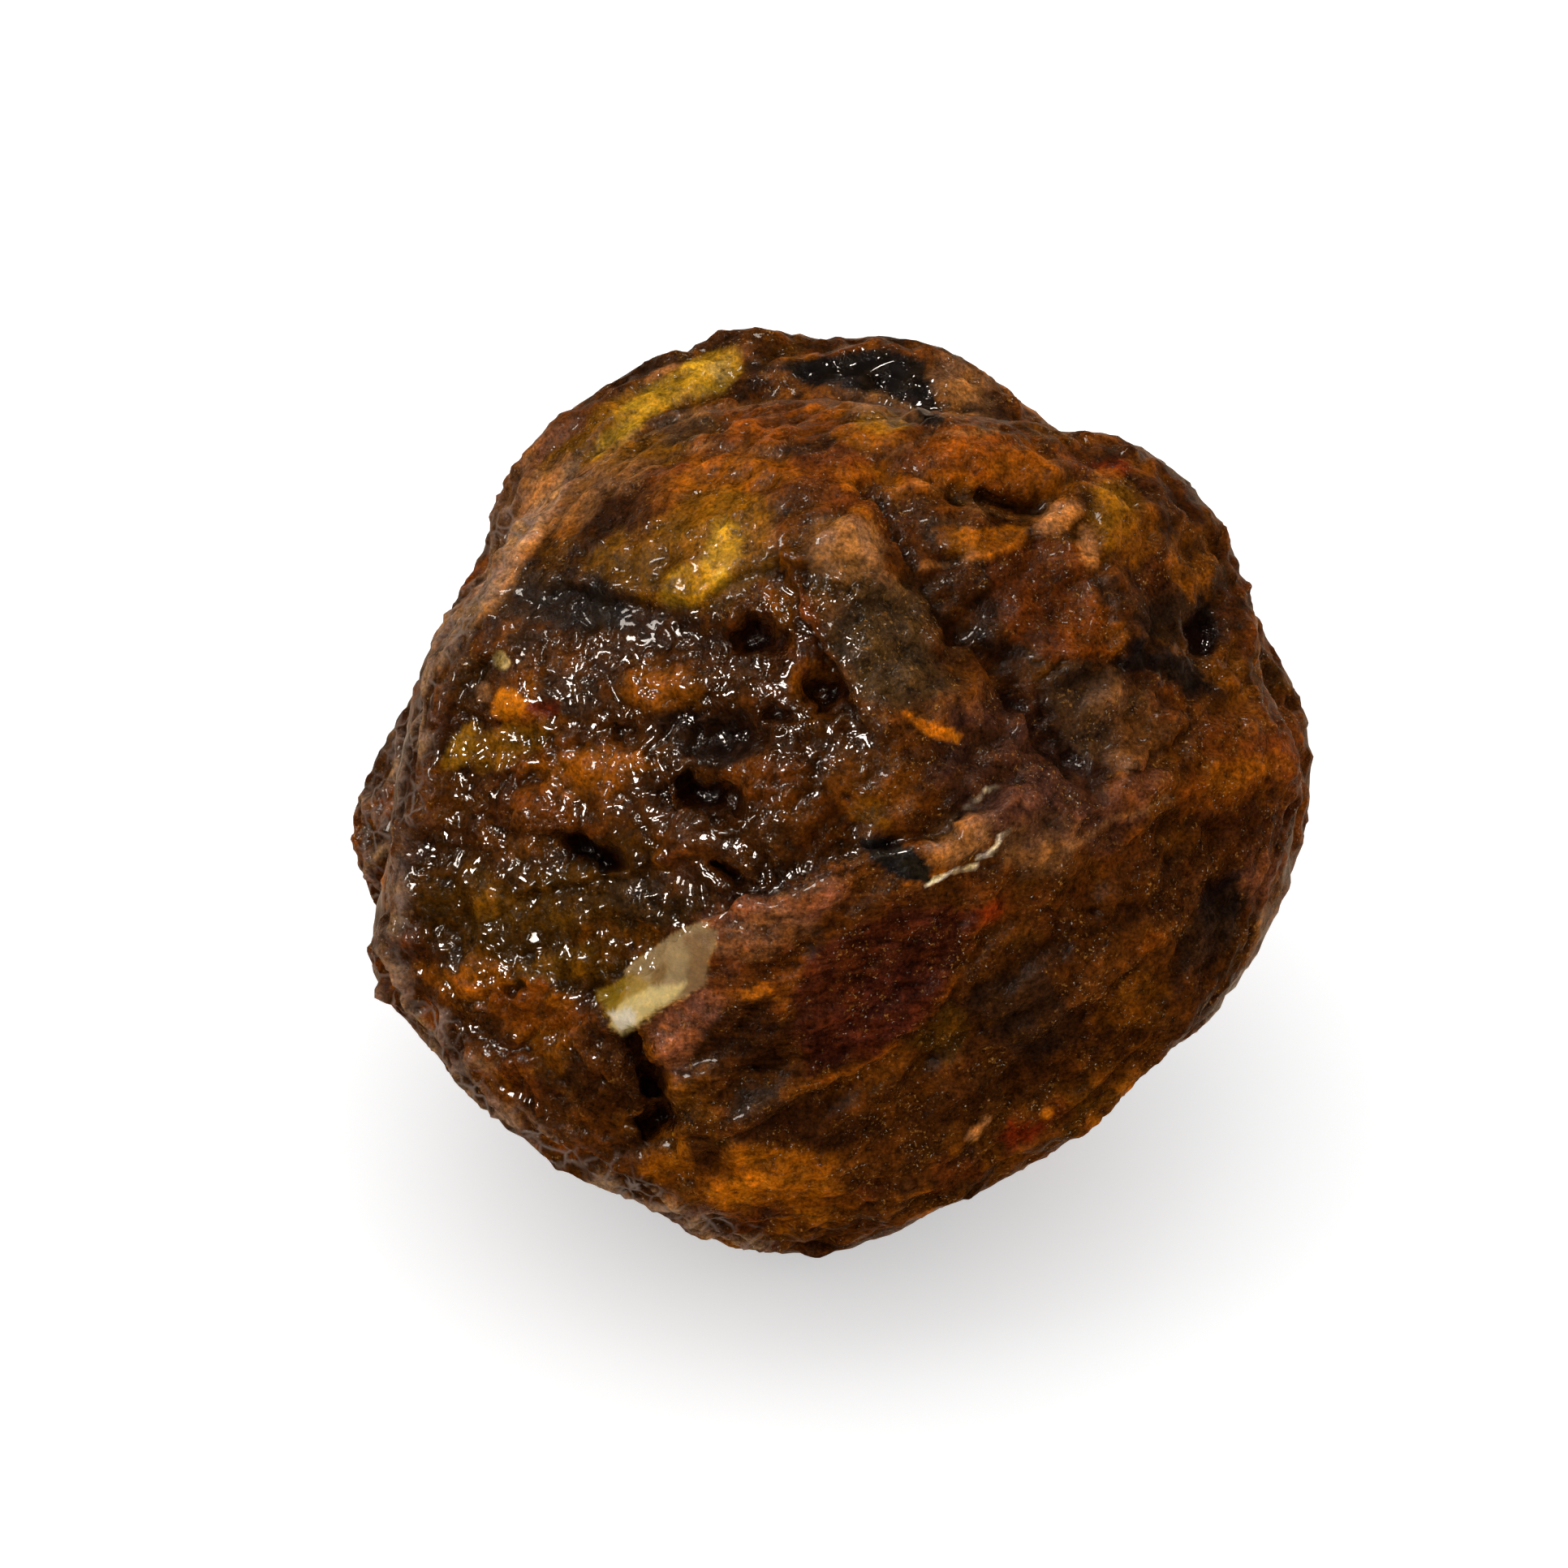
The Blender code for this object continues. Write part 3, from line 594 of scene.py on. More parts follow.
PLOTS = (
    Plot(DARK_UMBER, ((1062, 595), (1180, 640), (1230, 700), (1262, 800), (1262, 870), (1180, 800),
                           (1100, 690)), 0.45, 0.6),
    Plot(PLUM, ((1160, 1000), (1210, 940), (1262, 880), (1300, 930), (1345, 975), (1330, 1040),
                     (1240, 1020)), 0.6, 0.5),
    Plot(GREY_GREEN, ((1000, 690), (1060, 690), (1130, 780), (1180, 850), (1110, 880), (1050, 850),
                           (1010, 780)), 0.7, 0.6),
    Plot(TAN, ((988, 668), (1045, 640), (1090, 668), (1095, 712), (1040, 715), (1000, 700)), 0.55),
    Plot(BRICK, ((1216, 692), (1285, 655), (1325, 668), (1350, 740), (1372, 815), (1290, 812),
                      (1252, 790), (1225, 740)), 0.85),
    Plot(RUST, ((1325, 700), (1350, 740), (1372, 815), (1330, 812), (1300, 770)), 0.55, 0.4),
    Plot(HONEY, ((1146, 650), (1200, 650), (1270, 645), (1262, 672), (1215, 690),
        (1168, 684)), 0.8, 0.2),
    Plot(ORANGE, ((1170, 684), (1215, 684), (1250, 672), (1215, 694)), 0.5, 0.15),
    Plot(CHARCOAL, ((1288, 850), (1310, 815), (1370, 810), (1420, 840), (1462, 882), (1440, 925),
                         (1395, 948), (1340, 945), (1300, 905)), 0.55),
    Plot(OLIVE, ((640, 600), (700, 540), (760, 492), (800, 466), (850, 442), (905, 430), (917, 456),
                      (888, 486), (830, 500), (780, 540), (735, 568), (690, 600)), 0.95, 0.4, 0.3),
    Plot(MUSTARD, ((722, 566), (760, 510), (800, 472), (855, 442), (903, 432), (914, 458),
        (888, 480),
                        (840, 490), (800, 515), (765, 548)), 0.9, 0.35, 0.3),
    Plot(CREAM, ((868, 452), (895, 442), (902, 458), (884, 470)), 0.4, 0.4, 0.3),
    Plot(OLIVE, ((745, 690), (800, 650), (850, 612), (905, 600), (958, 640), (955, 690), (902, 746),
                      (850, 750), (790, 742)), 0.8, 0.8, 0.6),
    Plot(MUSTARD, ((880, 636), (915, 640), (912, 680), (893, 722), (850, 746), (806, 740),
        (822, 705),
                        (862, 690)), 0.62, 0.6, 0.4),
    Plot(YELLOW_GREEN, ((822, 726), (850, 706), (886, 690), (880, 722), (850, 744)), 0.7, 0.5, 0.4),
    # pale band down the left flank: pinkish-tan crust, partly painted sheen
    Plot(TAN, ((655, 585), (705, 560), (696, 610), (660, 670), (612, 745), (582, 770), (605, 690)),
         0.85, 0.6, 0.4),
    Plot(PEACH, ((655, 600), (700, 565), (690, 630), (650, 690), (615, 730), (600, 720)), 0.7, 0.5),
    Plot(BLACK, ((955, 452), (1010, 440), (1080, 428), (1135, 445), (1165, 520), (1145, 528),
                      (1110, 500), (1060, 482), (1000, 478)), 0.97, 0.2),
    Plot(TAN, ((1040, 482), (1085, 482), (1125, 500), (1138, 520), (1100, 520),
        (1055, 508)), 0.85, 0.25),
    Plot(YELLOW_GREEN, ((1060, 505), (1105, 510), (1125, 522), (1090, 535),
        (1055, 525)), 0.45, 0.25),
    Plot(ORANGE, ((1112, 874), (1128, 884), (1150, 890), (1184, 902), (1182, 915), (1146, 906),
                       (1122, 890)), 0.9, 0.12, 0.12),
    Plot(MAROON, ((1000, 1170), (1080, 1130), (1170, 1110), (1215, 1120), (1195, 1165), (1140, 1245),
                       (1080, 1298), (1000, 1330), (970, 1260)), 0.85, 0.7, 0.5),
    Plot(BLACK, ((1056, 1036), (1090, 1030), (1120, 1042), (1152, 1068), (1148, 1086), (1110, 1082),
                      (1072, 1062)), 1.0, 0.12, 0.15),
    Plot(DARK_UMBER, ((862, 1240), (940, 1235), (975, 1262), (960, 1320), (890, 1325), (840, 1300)),
         0.75, 0.4, 0.4),
    Plot(PINK_BROWN, ((795, 1262), (850, 1222), (900, 1230), (862, 1290), (838, 1330), (812, 1318)),
         0.75, 0.3),
)

CHIP = (
    Plot(PALE_TAN, ((768, 1196), (825, 1153), (864, 1134), (884, 1150), (868, 1214),
        (821, 1239), (776, 1232)),
         1.0, 0.12, 0.08),
    Plot(TAN, ((840, 1150), (884, 1144), (868, 1214), (838, 1226), (850, 1180)), 0.7, 0.3, 0.2),
    Plot(OLIVE, ((800, 1196), (824, 1186), (818, 1214), (800, 1220)), 0.6, 0.25, 0.2),
    Plot(MUSTARD, ((736, 1222), (780, 1200), (800, 1212), (796, 1240), (760, 1256), (744, 1250)),
         0.7, 0.3, 0.2),
    Plot(CREAM, ((760, 1240), (800, 1216), (846, 1210), (821, 1240), (792, 1258),
        (768, 1276), (750, 1262)),
         0.85, 0.3, 0.2),
    Plot(MINERAL, ((748, 1248), (776, 1242), (786, 1256), (765, 1270)), 0.75, 0.2, 0.15),
)

STREAKS = (
    # painted sheen along the left flank
    Streak(FILM_AND_SHEEN, 0.45, ((702, 579), (660, 640), (620, 700), (572, 763), (545, 812)), 0.5),
    Streak(MINERAL, 0.12, ((1146, 1087), (1170, 1077), (1200, 1069))),
    Streak(MINERAL, 0.11, ((1204, 1056), (1226, 1048), (1240, 1026))),
    # pale mineral, partly painted sheen
    Streak(MINERAL, 0.10, ((1186, 994), (1206, 978), (1222, 968)), 0.6),
    # lighter line along the fold: tan crust, partly painted sheen
    Streak(TAN, 0.20, ((1320, 1048), (1372, 1010), (1440, 985)), 0.4),
    Streak(PEACH, 0.16, ((1130, 700), (1180, 690), (1225, 690)), 0.5),
    Streak(RUST, 0.14, ((1205, 1170), (1150, 1248), (1080, 1305), (1000, 1340)), 0.5),
    Streak(TAN, 0.22, ((700, 602), (760, 545), (830, 512), (900, 500), (985, 490)), 0.5),
    Streak(TAN, 0.18, ((720, 620), (790, 572), (870, 548), (960, 560)), 0.4),
    Streak(TAN, 0.20, ((1095, 560), (1150, 535), (1230, 530)), 0.5),
    Streak(TAN, 0.16, ((1128, 590), (1190, 622), (1262, 640), (1320, 620)), 0.45),
    Streak(ORANGE, 0.10, ((900, 1226), (940, 1214), (962, 1236)), 0.45),
)


# ---------------------------------------------------------------- helpers on many points


def ramp(value: np.ndarray, start: float, end: float) -> np.ndarray:
    """Eases from 0 at one value to 1 at another, and holds what is outside.

    Args:
        value: What is eased.
        start: Where 0 is reached.
        end: Where 1 is reached, above or below start.

    Returns:
        0 to 1 for each value.
    """
    t = np.clip((value - start) / (end - start), 0.0, 1.0)
    return t * t * (3 - 2 * t)


def held(value: np.ndarray) -> np.ndarray:
    """Holds a share between 0 and 1."""
    return np.clip(value, 0, 1)


@dataclass(frozen=True)
class Waves:
    """Octaves of soft noise, each half as long and half as strong as the last.

    Attributes:
        length: Wavelength of the longest octave, in millimetres.
        octaves: How many octaves.
        seed: Moves the noise to a place of its own.
    """

    length: float
    octaves: int = 1
    seed: float = 0.0

    def read(self, points: np.ndarray) -> np.ndarray:
        """Reads the noise at rows of x, y, z in millimetres: about -1 to 1 for each."""
        total = np.zeros(len(points))
        for octave in range(self.octaves):
            spots = points / (self.length / 2**octave) + (self.seed + OCTAVE_STEP * octave)
            total += np.array([noise.noise(spot) for spot in spots.tolist()]) / 2**octave
        return total / (2 - 2 ** (1 - self.octaves))


@dataclass(frozen=True)
class Drift:
    """Soft noise that moves points about, which makes clean shapes ragged.

    Attributes:
        length: Wavelength of the noise, in millimetres.
        far: How far a point may move along each axis, in millimetres.
        seed: Moves the noise to a place of its own.
    """

    length: float
    far: float
    seed: float = 0.0

    def offset(self, points: np.ndarray) -> np.ndarray:
        """Works out how far each point moves, as rows of x, y, z in millimetres."""
        spots = points / self.length + self.seed
        return self.far * np.array([noise.noise_vector(spot) for spot in spots.tolist()])


def moved(points: np.ndarray, *drifts: Drift) -> np.ndarray:
    """Moves points by one drift after another.

    Args:
        points: Rows of x, y, z in millimetres.
        *drifts: The drifts, in order.

    Returns:
        The moved points.
    """
    for drift in drifts:
        points = points + drift.offset(points)
    return points


@dataclass(frozen=True)
class Foam:
    """A random foam of round cells.

    Attributes:
        size: How far apart the cells' middles are, in millimetres.
        seed: Moves the foam to a place of its own.
    """

    size: float
    seed: float

    def read(self, points: np.ndarray) -> tuple[np.ndarray, np.ndarray, np.ndarray]:
        """Finds which cell each point lies in.

        Args:
            points: Rows of x, y, z in millimetres.

        Returns:
            The distance to the nearest middle and the gap to the next one, both as
            shares of size, and a random 0 to 1 for each point's cell.
        """
        near, gap, pick = [], [], []
        for spot in (points / self.size + self.seed).tolist():
            (first, second, _, _), (middle, *_) = noise.voronoi(spot)
            near.append(first)
            gap.append(second - first)
            pick.append(noise.cell(middle * CELL_STEP))
        return np.array(near), np.array(gap), np.array(pick)


@dataclass(frozen=True)
class Run:
    """A direction across the best side along which relief is drawn out.

    Attributes:
        right: How much of it runs right, as the best side is seen.
        up: How much of it runs up.
        share: What a length along it shrinks to before the relief is read.
    """

    right: float
    up: float
    share: float

    def squeeze(self, points: np.ndarray) -> np.ndarray:
        """Squeezes rows of x, y, z along the direction."""
        axis = VIEW.right * self.right + VIEW.up * self.up
        return points + np.outer(points @ axis, axis) * (self.share - 1)


TINY = 1e-9  # keeps a division safe on a path's own line
SWELL_FALL = 0.9  # how fast a swell falls off
FOOT_SHADE = 0.4  # how far the shade at a brink's foot reaches, in millimetres
OCTAVE_STEP = 17.3  # parts the octaves of one noise
CELL_STEP = 7.31  # parts the random picks of neighbouring cells

# What bends the edges of zones, steps, holes and stains.
ZONE_EDGES = Drift(3.0, 1.1)
BRINK_EDGES = (Drift(1.6, 0.35), Drift(0.6, 0.18, 3.0))
HOLE_EDGES = (Drift(1.3, 1.0, 21.0), Drift(0.6, 0.45, 22.0))
STRAY_EDGES = (Drift(2.6, 0.9, 7.0), Drift(0.9, 0.35, 8.0))
STAIN_EDGES = (Drift(1.9, 1.0, 11.0), Drift(0.6, 0.55, 12.0))

# Which kind of crust lies where on the sides that the best side's view misses.
BACK_KINDS = Waves(14.0, 1, 5.1)
BACK_PIMPLES = Waves(11.0, 1, 9.7)

# The crust's own relief.
LOOSE = (Drift(2.2, 1.0), Drift(0.9, 0.3, 31.0))
LUMPS = Waves(2.7, 3, 17.0)
KNOBS = Foam(1.4, 4.4)
BEADS = Foam(0.72, 2.7)
BEADED = Waves(3.2, 2, 9.0)
ALONG_FLANK = Run(-0.32, -0.95, 0.42)
ALONG_FOOT = Run(0.79, -0.61, 0.5)
NET_EDGES = Drift(1.8, 0.7)
NET = Foam(1.6, 8.8)
ROLLS = Waves(3.0, 4, 2.2)
VEIN_EDGES = Drift(2.5, 0.8, 5.0)
VEINS = Waves(2.6, 3, 41.0)
KNOTTED = Waves(4.0, 2, 19.0)
ALONG_FURROWS = Run(0.77, 0.64, 0.35)
FURROW_EDGES = Drift(2.5, 0.6, 71.0)
FURROWS = Waves(1.5, 3, 72.0)
GRAIN = Waves(0.75, 2, 6.1)

# The crust's stains, the spread of its ridge film with painted sheen, and its wet film.
GROUND_EDGES = Drift(2.4, 1.2, 51.0)
SPECKLE = Waves(1.1, 3, 13.0)
BLOTCH_EDGES = Drift(1.0, 0.4, 61.0)
BLOTCHES = Waves(1.3, 4, 62.0)
FILM_AND_SHEEN_PATCHES = Waves(2.4, 2, 15.0)
POOL_EDGES = Drift(1.5, 0.6, 81.0)
POOLS = Waves(2.4, 3, 3.3)

# The browns of the ground: tone, its noise, and how high that must be for it to show.
GROUND = (
    (DARK_OLIVE, Waves(6.0, 4, 1.0), 0.0),
    (DARK_UMBER, Waves(4.0, 4, 2.0), 0.0),
    (BRICK, Waves(5.0, 4, 3.0), 0.08),
    (HONEY, Waves(3.2, 4, 4.0), 0.14),
    (CHARCOAL, Waves(2.6, 4, 5.0), 0.18),
)
STRAY_TONES = (
    OLIVE, RUST, DARK_UMBER, BLACK, HONEY, BRICK,
    GREY_GREEN, PLUM, DARK_OLIVE, CHARCOAL, TAN,
)


def along_path(px: np.ndarray, py: np.ndarray, path: tuple) -> tuple[np.ndarray, np.ndarray]:
    """Measures from pixels to a path.

    Args:
        px: Pixel columns.
        py: Pixel rows.
        path: The path's pixels, in order.

    Returns:
        The distance to the path in millimetres, and its side: 1 on the left as the
        path is walked, and -1 on the right, swinging evenly round its ends.
    """
    nearest = np.full(px.shape, np.inf)
    side = np.zeros(px.shape)
    for (ax, ay), (bx, by) in zip(path, path[1:]):
        ux, uy = bx - ax, by - ay
        length = math.hypot(ux, uy)
        t = np.clip(((px - ax) * ux + (py - ay) * uy) / length**2, 0.0, 1.0)
        gx, gy = px - ax - t * ux, py - ay - t * uy
        gap = np.hypot(gx, gy)
        turned = (uy * gx - ux * gy) / (length * gap + TINY)
        closer = gap < nearest
        nearest = np.where(closer, gap, nearest)
        side = np.where(closer, turned, side)
    return nearest * VIEW.pixel, side


def inside(px: np.ndarray, py: np.ndarray, corners: tuple, soft: float) -> np.ndarray:
    """Says how far inside an outline each pixel is.

    Args:
        px: Pixel columns.
        py: Pixel rows.
        corners: The outline's pixels, in order.
        soft: How wide the edge is, in millimetres.

    Returns:
        1 well inside the outline, 0 outside, and an even change between.
    """
    ring = corners + corners[:1]
    within = np.zeros(px.shape, dtype=bool)
    for (ax, ay), (bx, by) in zip(ring, ring[1:]):
        spans = (ay > py) != (by > py)
        reach = (bx - ax) * (py - ay) / (by - ay + TINY) + ax
        within ^= spans & (px < reach)
    gap, _ = along_path(px, py, ring)
    return ramp(np.where(within, gap, -gap), -soft / 2, soft / 2)


def oval(px: np.ndarray, py: np.ndarray, spot: Patch | Hole | Swell) -> np.ndarray:
    """Measures from the middle of an oval feature.

    Args:
        px: Pixel columns.
        py: Pixel rows.
        spot: The feature.

    Returns:
        0 at its middle, 1 on its outline, and more outside.
    """
    turn = math.radians(spot.turn)
    x, y = (px - spot.px) * VIEW.pixel, (spot.py - py) * VIEW.pixel
    along = x * math.cos(turn) + y * math.sin(turn)
    across = y * math.cos(turn) - x * math.sin(turn)
    return np.hypot(along / spot.wide, across / spot.tall)


# ---------------------------------------------------------------- the fine skin


@dataclass
class Skin:
    """The lump's skin as arrays: its points in millimetres and what is known of each.

    Attributes:
        mesh: The mesh that the points belong to.
        edge_on: Facing at which a point fully counts as on the best side.
    """

    mesh: bpy.types.Mesh
    edge_on: float = 0.2

    def __post_init__(self) -> None:
        """Reads the mesh."""
        count = len(self.mesh.vertices)
        self.points = np.empty(count * 3)
        self.mesh.vertices.foreach_get("co", self.points)
        self.points = self.points.reshape(-1, 3) / MM
        ends = np.empty(len(self.mesh.edges) * 2, dtype=np.int32)
        self.mesh.edges.foreach_get("vertices", ends)
        self.starts, self.ends = ends.reshape(-1, 2).T
        self.look()
        self.front = ramp(VIEW.facing(self.points, self.normals), 0.0, self.edge_on)
        self.hidden = 1 - self.front

    def look(self) -> None:
        """Puts the points back into the mesh, in metres, and works out the normals."""
        self.mesh.vertices.foreach_set("co", (self.points * MM).ravel())
        self.mesh.update()
        self.normals = np.empty(len(self.points) * 3, dtype=np.float32)
        self.mesh.vertex_normals.foreach_get("vector", self.normals)
        self.normals = self.normals.reshape(-1, 3).astype(float)

    def relax(self, share: float) -> None:
        """Moves each point a share of the way to the middle of its neighbours."""
        count = len(self.points)
        near = np.bincount(self.starts, minlength=count) + np.bincount(self.ends, minlength=count)
        for axis in range(3):
            line = self.points[:, axis]
            total = np.bincount(self.starts, line[self.ends], count)
            total += np.bincount(self.ends, line[self.starts], count)
            self.points[:, axis] += share * (total / near - line)
        self.look()

    def raise_by(self, height: np.ndarray) -> None:
        """Moves each point out along its normal by a height in millimetres."""
        self.points += self.normals * height[:, None]
        self.look()

    def bend(self, *drifts: Drift) -> np.ndarray:
        """Adds up how far some drifts move the points, as rows of x, y, z."""
        return sum(drift.offset(self.points) for drift in drifts)

    def layer(self, name: str, values: np.ndarray) -> None:
        """Writes a colour layer with one row of four numbers per point."""
        made = self.mesh.attributes.new(name, "FLOAT_COLOR", "POINT")
        made.data.foreach_set("color", values.astype(np.float32).ravel())


@dataclass(frozen=True)
class Heights:
    """How high the crust's own relief stands, in millimetres.

    Attributes:
        lumps: Broad lumps of the wet dish.
        knobs: Its knobs, a millimetre or so across.
        beads: The beads between them.
        pits: Depth of its deep pits.
        pimples: Pimples of the dry rims.
        specks: The finest pimples.
        net: Ridges of the netted rims.
        pockets: Depth between those ridges.
        rolls: Soft rolls all over.
        veins: Thin raised veins.
        knots: Low knots of the dry crust.
        furrows: Furrows that run up and to the right.
        grain: The finest grain.
    """

    lumps: float = 0.50
    knobs: float = 0.60
    beads: float = 0.26
    pits: float = 0.34
    pimples: float = 0.42
    specks: float = 0.14
    net: float = 0.40
    pockets: float = 0.60
    rolls: float = 0.42
    veins: float = 0.162
    knots: float = 0.288
    furrows: float = 0.85
    grain: float = 0.13


@dataclass
class AmberLump:
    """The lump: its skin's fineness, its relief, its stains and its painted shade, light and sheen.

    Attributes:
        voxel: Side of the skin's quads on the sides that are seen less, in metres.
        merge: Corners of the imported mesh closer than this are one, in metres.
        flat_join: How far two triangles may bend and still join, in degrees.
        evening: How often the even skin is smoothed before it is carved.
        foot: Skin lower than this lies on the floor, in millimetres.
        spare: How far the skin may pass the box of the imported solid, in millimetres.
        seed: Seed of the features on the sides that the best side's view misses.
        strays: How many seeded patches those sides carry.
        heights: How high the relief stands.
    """

    voxel: float = 0.00058
    merge: float = 0.00001
    flat_join: float = 40.0
    evening: int = 6
    foot: float = 0.12
    spare: float = 0.3
    seed: int = 41
    strays: int = 150
    heights: Heights = Heights()

    def build(self) -> bpy.types.Object:
        """Grows, carves and stains the skin, and paints its shade, light and sheen.

        Returns:
            The finished piece.
        """
        noise.seed_set(self.seed)
        piece = self.grow()
        skin = Skin(piece.data)
        self.carve(skin)
        self.stain(skin)
        piece.data.shade_smooth()
        return piece

    def grow(self) -> bpy.types.Object:
        """Grows a fine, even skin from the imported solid, finest on the best side.

        Returns:
            The skin as an object.
        """
        bm = bmesh.new()
        bm.from_mesh(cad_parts[NODE].data)
        bmesh.ops.remove_doubles(bm, verts=bm.verts, dist=self.merge)
        bend = math.radians(self.flat_join)
        bmesh.ops.join_triangles(bm, faces=bm.faces, angle_face_threshold=bend, angle_shape_threshold=bend)
        bmesh.ops.recalc_face_normals(bm, faces=bm.faces)
        coarse = bpy.data.meshes.new("coarse_skin")
        bm.to_mesh(coarse)
        bm.free()
        piece = bpy.data.objects.new(SKIN, coarse)
        bpy.context.scene.collection.objects.link(piece)
        rounder = piece.modifiers.new("rounder", "SUBSURF")
        rounder.levels = rounder.render_levels = 2
        evener = piece.modifiers.new("evener", "REMESH")
        evener.mode = "VOXEL"
        evener.voxel_size = self.voxel
        graph = bpy.context.evaluated_depsgraph_get()
        even = bpy.data.meshes.new_from_object(piece.evaluated_get(graph))
        piece.modifiers.clear()
        bm = bmesh.new()
        bm.from_mesh(even)
        for _ in range(self.evening):
            self.smooth(bm)
        self.refine(bm)
        bm.to_mesh(even)
        bm.free()
        even.name = SKIN
        piece.data = even
        bpy.data.meshes.remove(coarse)
        return piece

    @staticmethod
    def smooth(bm: bmesh.types.BMesh) -> None:
        """Moves each corner halfway to the middle of its neighbours."""
        axes = dict.fromkeys(("use_axis_x", "use_axis_y", "use_axis_z"), True)
        bmesh.ops.smooth_vert(bm, verts=bm.verts, factor=0.5, **axes)

    def refine(self, bm: bmesh.types.BMesh) -> None:
        """Splits the faces of the best side in four, and those of its wet dish once more.

        Args:
            bm: The skin.
        """
        for least, zone in ((0.12, None), (0.30, SPONGE)):
            bm.normal_update()
            middles = np.array([face.calc_center_median() for face in bm.faces]) / MM
            normals = np.array([face.normal for face in bm.faces])
            chosen = VIEW.facing(middles, normals) > least
            if zone:
                chosen &= zone.share(*VIEW.see(middles)) > 0.5
            bm.faces.index_update()
            edges = [edge for edge in bm.edges if any(chosen[face.index] for face in edge.link_faces)]
            bmesh.ops.subdivide_edges(bm, edges=edges, cuts=1, use_grid_fill=True)
            self.smooth(bm)

    # ------------------------------------------------------------ carving

    def carve(self, skin: Skin) -> None:
        """Carves the crust's relief, from its brinks down to its grain.

        Args:
            skin: The skin.
        """
        floor = skin.points[:, 2] < self.foot
        self.zones(skin)
        skin.raise_by(self.brinks(skin))
        self.sink_holes(skin)
        skin.raise_by(self.lumps(skin))
        skin.relax(0.5)
        skin.raise_by(self.grain(skin))
        skin.points[:, 2] = np.where(floor, 0.0, np.maximum(skin.points[:, 2], 0.0))
        low, high = (np.array(corner) / MM for corner in CAD_BOX)
        skin.points = np.clip(skin.points, low - (self.spare, self.spare, 0), high + self.spare)
        skin.look()

    def zones(self, skin: Skin) -> None:
        """Works out where each kind of crust lies, on the best side and round the back.

        Args:
            skin: The skin.
        """
        px, py = VIEW.see(moved(skin.points, ZONE_EDGES))
        front, hidden = skin.front, skin.hidden
        kinds = BACK_KINDS.read(skin.points)
        bare = ramp(BACK_PIMPLES.read(skin.points), -1 / 6, 1 / 6)
        self.wet = front * WET_DISH.share(px, py) + hidden * ramp(kinds, 0.15, 0.40)
        self.sponge = front * SPONGE.share(px, py) + hidden * self.wet
        self.dull = front * BLACK_GRIT.share(px, py)
        self.spots = front * np.maximum.reduce([zone.share(px, py) for zone in WET_SPOTS])
        self.net = front * NET_RIM.share(px, py) + hidden * 0.6 * ramp(kinds, -0.25, -0.50)
        self.flank = front * LEFT_FLANK.share(px, py)
        rims = np.maximum(RIGHT_RIM.share(px, py), CREST_RIM.share(px, py))
        self.pimply = np.maximum(front * rims, hidden * bare)
        self.pimply = np.maximum(self.pimply, self.flank) * (1 - self.wet)
        self.plate = front * PLATE.share(px, py)
        self.wetted = held(self.wet)
        self.calm = 1 - self.wetted
        self.nets = np.maximum(self.net, 0.8 * self.flank)

    def brinks(self, skin: Skin) -> np.ndarray:
        """Adds up the swells, steps, furrows and ribs.

        Args:
            skin: The skin.

        Returns:
            Heights in millimetres.
        """
        px, py = VIEW.see(moved(skin.points, *BRINK_EDGES))
        height = np.zeros(px.shape)
        self.crease_shade = np.zeros(px.shape)
        for swell in SWELLS:
            height += swell.height * np.exp(-SWELL_FALL * oval(px, py, swell) ** 2)
        for brink in BRINKS:
            gap, side = along_path(px, py, brink.path)
            step = side * np.minimum(gap / brink.slope, 1.0)
            height += brink.height * step * np.exp(-gap / brink.fade)
            low = side * math.copysign(1.0, brink.height) < 0
            foot = brink.shade * np.exp(-((gap / FOOT_SHADE) ** 2)) * low
            self.crease_shade = np.maximum(self.crease_shade, foot)
        for groove in GROOVES:
            gap, _ = along_path(px, py, groove.path)
            share = np.exp(-((gap / groove.width) ** 2))
            height -= groove.depth * share
            self.crease_shade = np.maximum(self.crease_shade, groove.dark * share)
        self.form = height * skin.front
        return self.form

    def sink_holes(self, skin: Skin) -> None:
        """Sinks the holes of the best side, straight away from its view.

        Args:
            skin: The skin.
        """
        self.hole_shade = np.zeros(len(skin.points))
        sunk = np.zeros(len(skin.points))
        bend = skin.bend(*HOLE_EDGES)
        for hole in HOLES:
            out = oval(*VIEW.see(skin.points + hole.ragged * bend), hole)
            sunk = np.maximum(sunk, hole.depth * ramp(out, 1.25, 0.341) * skin.front)
            self.hole_shade = np.maximum(self.hole_shade, hole.dark * ramp(out, 1.1, 0.386) * skin.front)
        skin.points -= VIEW.back * sunk[:, None]
        skin.look()

    def lumps(self, skin: Skin) -> np.ndarray:
        """Adds up the lumps and pits that are a millimetre or so across.

        Args:
            skin: The skin.

        Returns:
            Heights in millimetres.
        """
        high = self.heights
        loose = moved(skin.points, *LOOSE)
        near, _, pick = KNOBS.read(loose)
        bead_near, _, bead_pick = BEADS.read(loose)
        self.deep = ramp(pick, 0.84, 0.965) * ramp(near, 0.5, 0.25)
        beaded = 0.2 + ramp(BEADED.read(skin.points), -0.1, 0.15)
        dish = high.lumps * LUMPS.read(loose) + high.knobs * (0.45 - near) * (0.5 + pick)
        dish += high.beads * (0.45 - bead_near) * (0.3 + bead_pick) * beaded - high.pits * self.deep
        pimples = high.pimples * (0.5 - near) * (0.5 + pick)
        pimples += high.specks * (0.5 - bead_near) * ramp(bead_pick, 0.0, 0.5)
        self.relief = self.wet * dish + self.pimply * pimples + self.nets * self.calm * self.netting(skin)
        self.relief += self.folds(skin, near)
        rolls = high.rolls * ROLLS.read(skin.points)
        return self.relief + rolls * (0.3 + 0.5 * self.calm - 0.35 * self.plate)

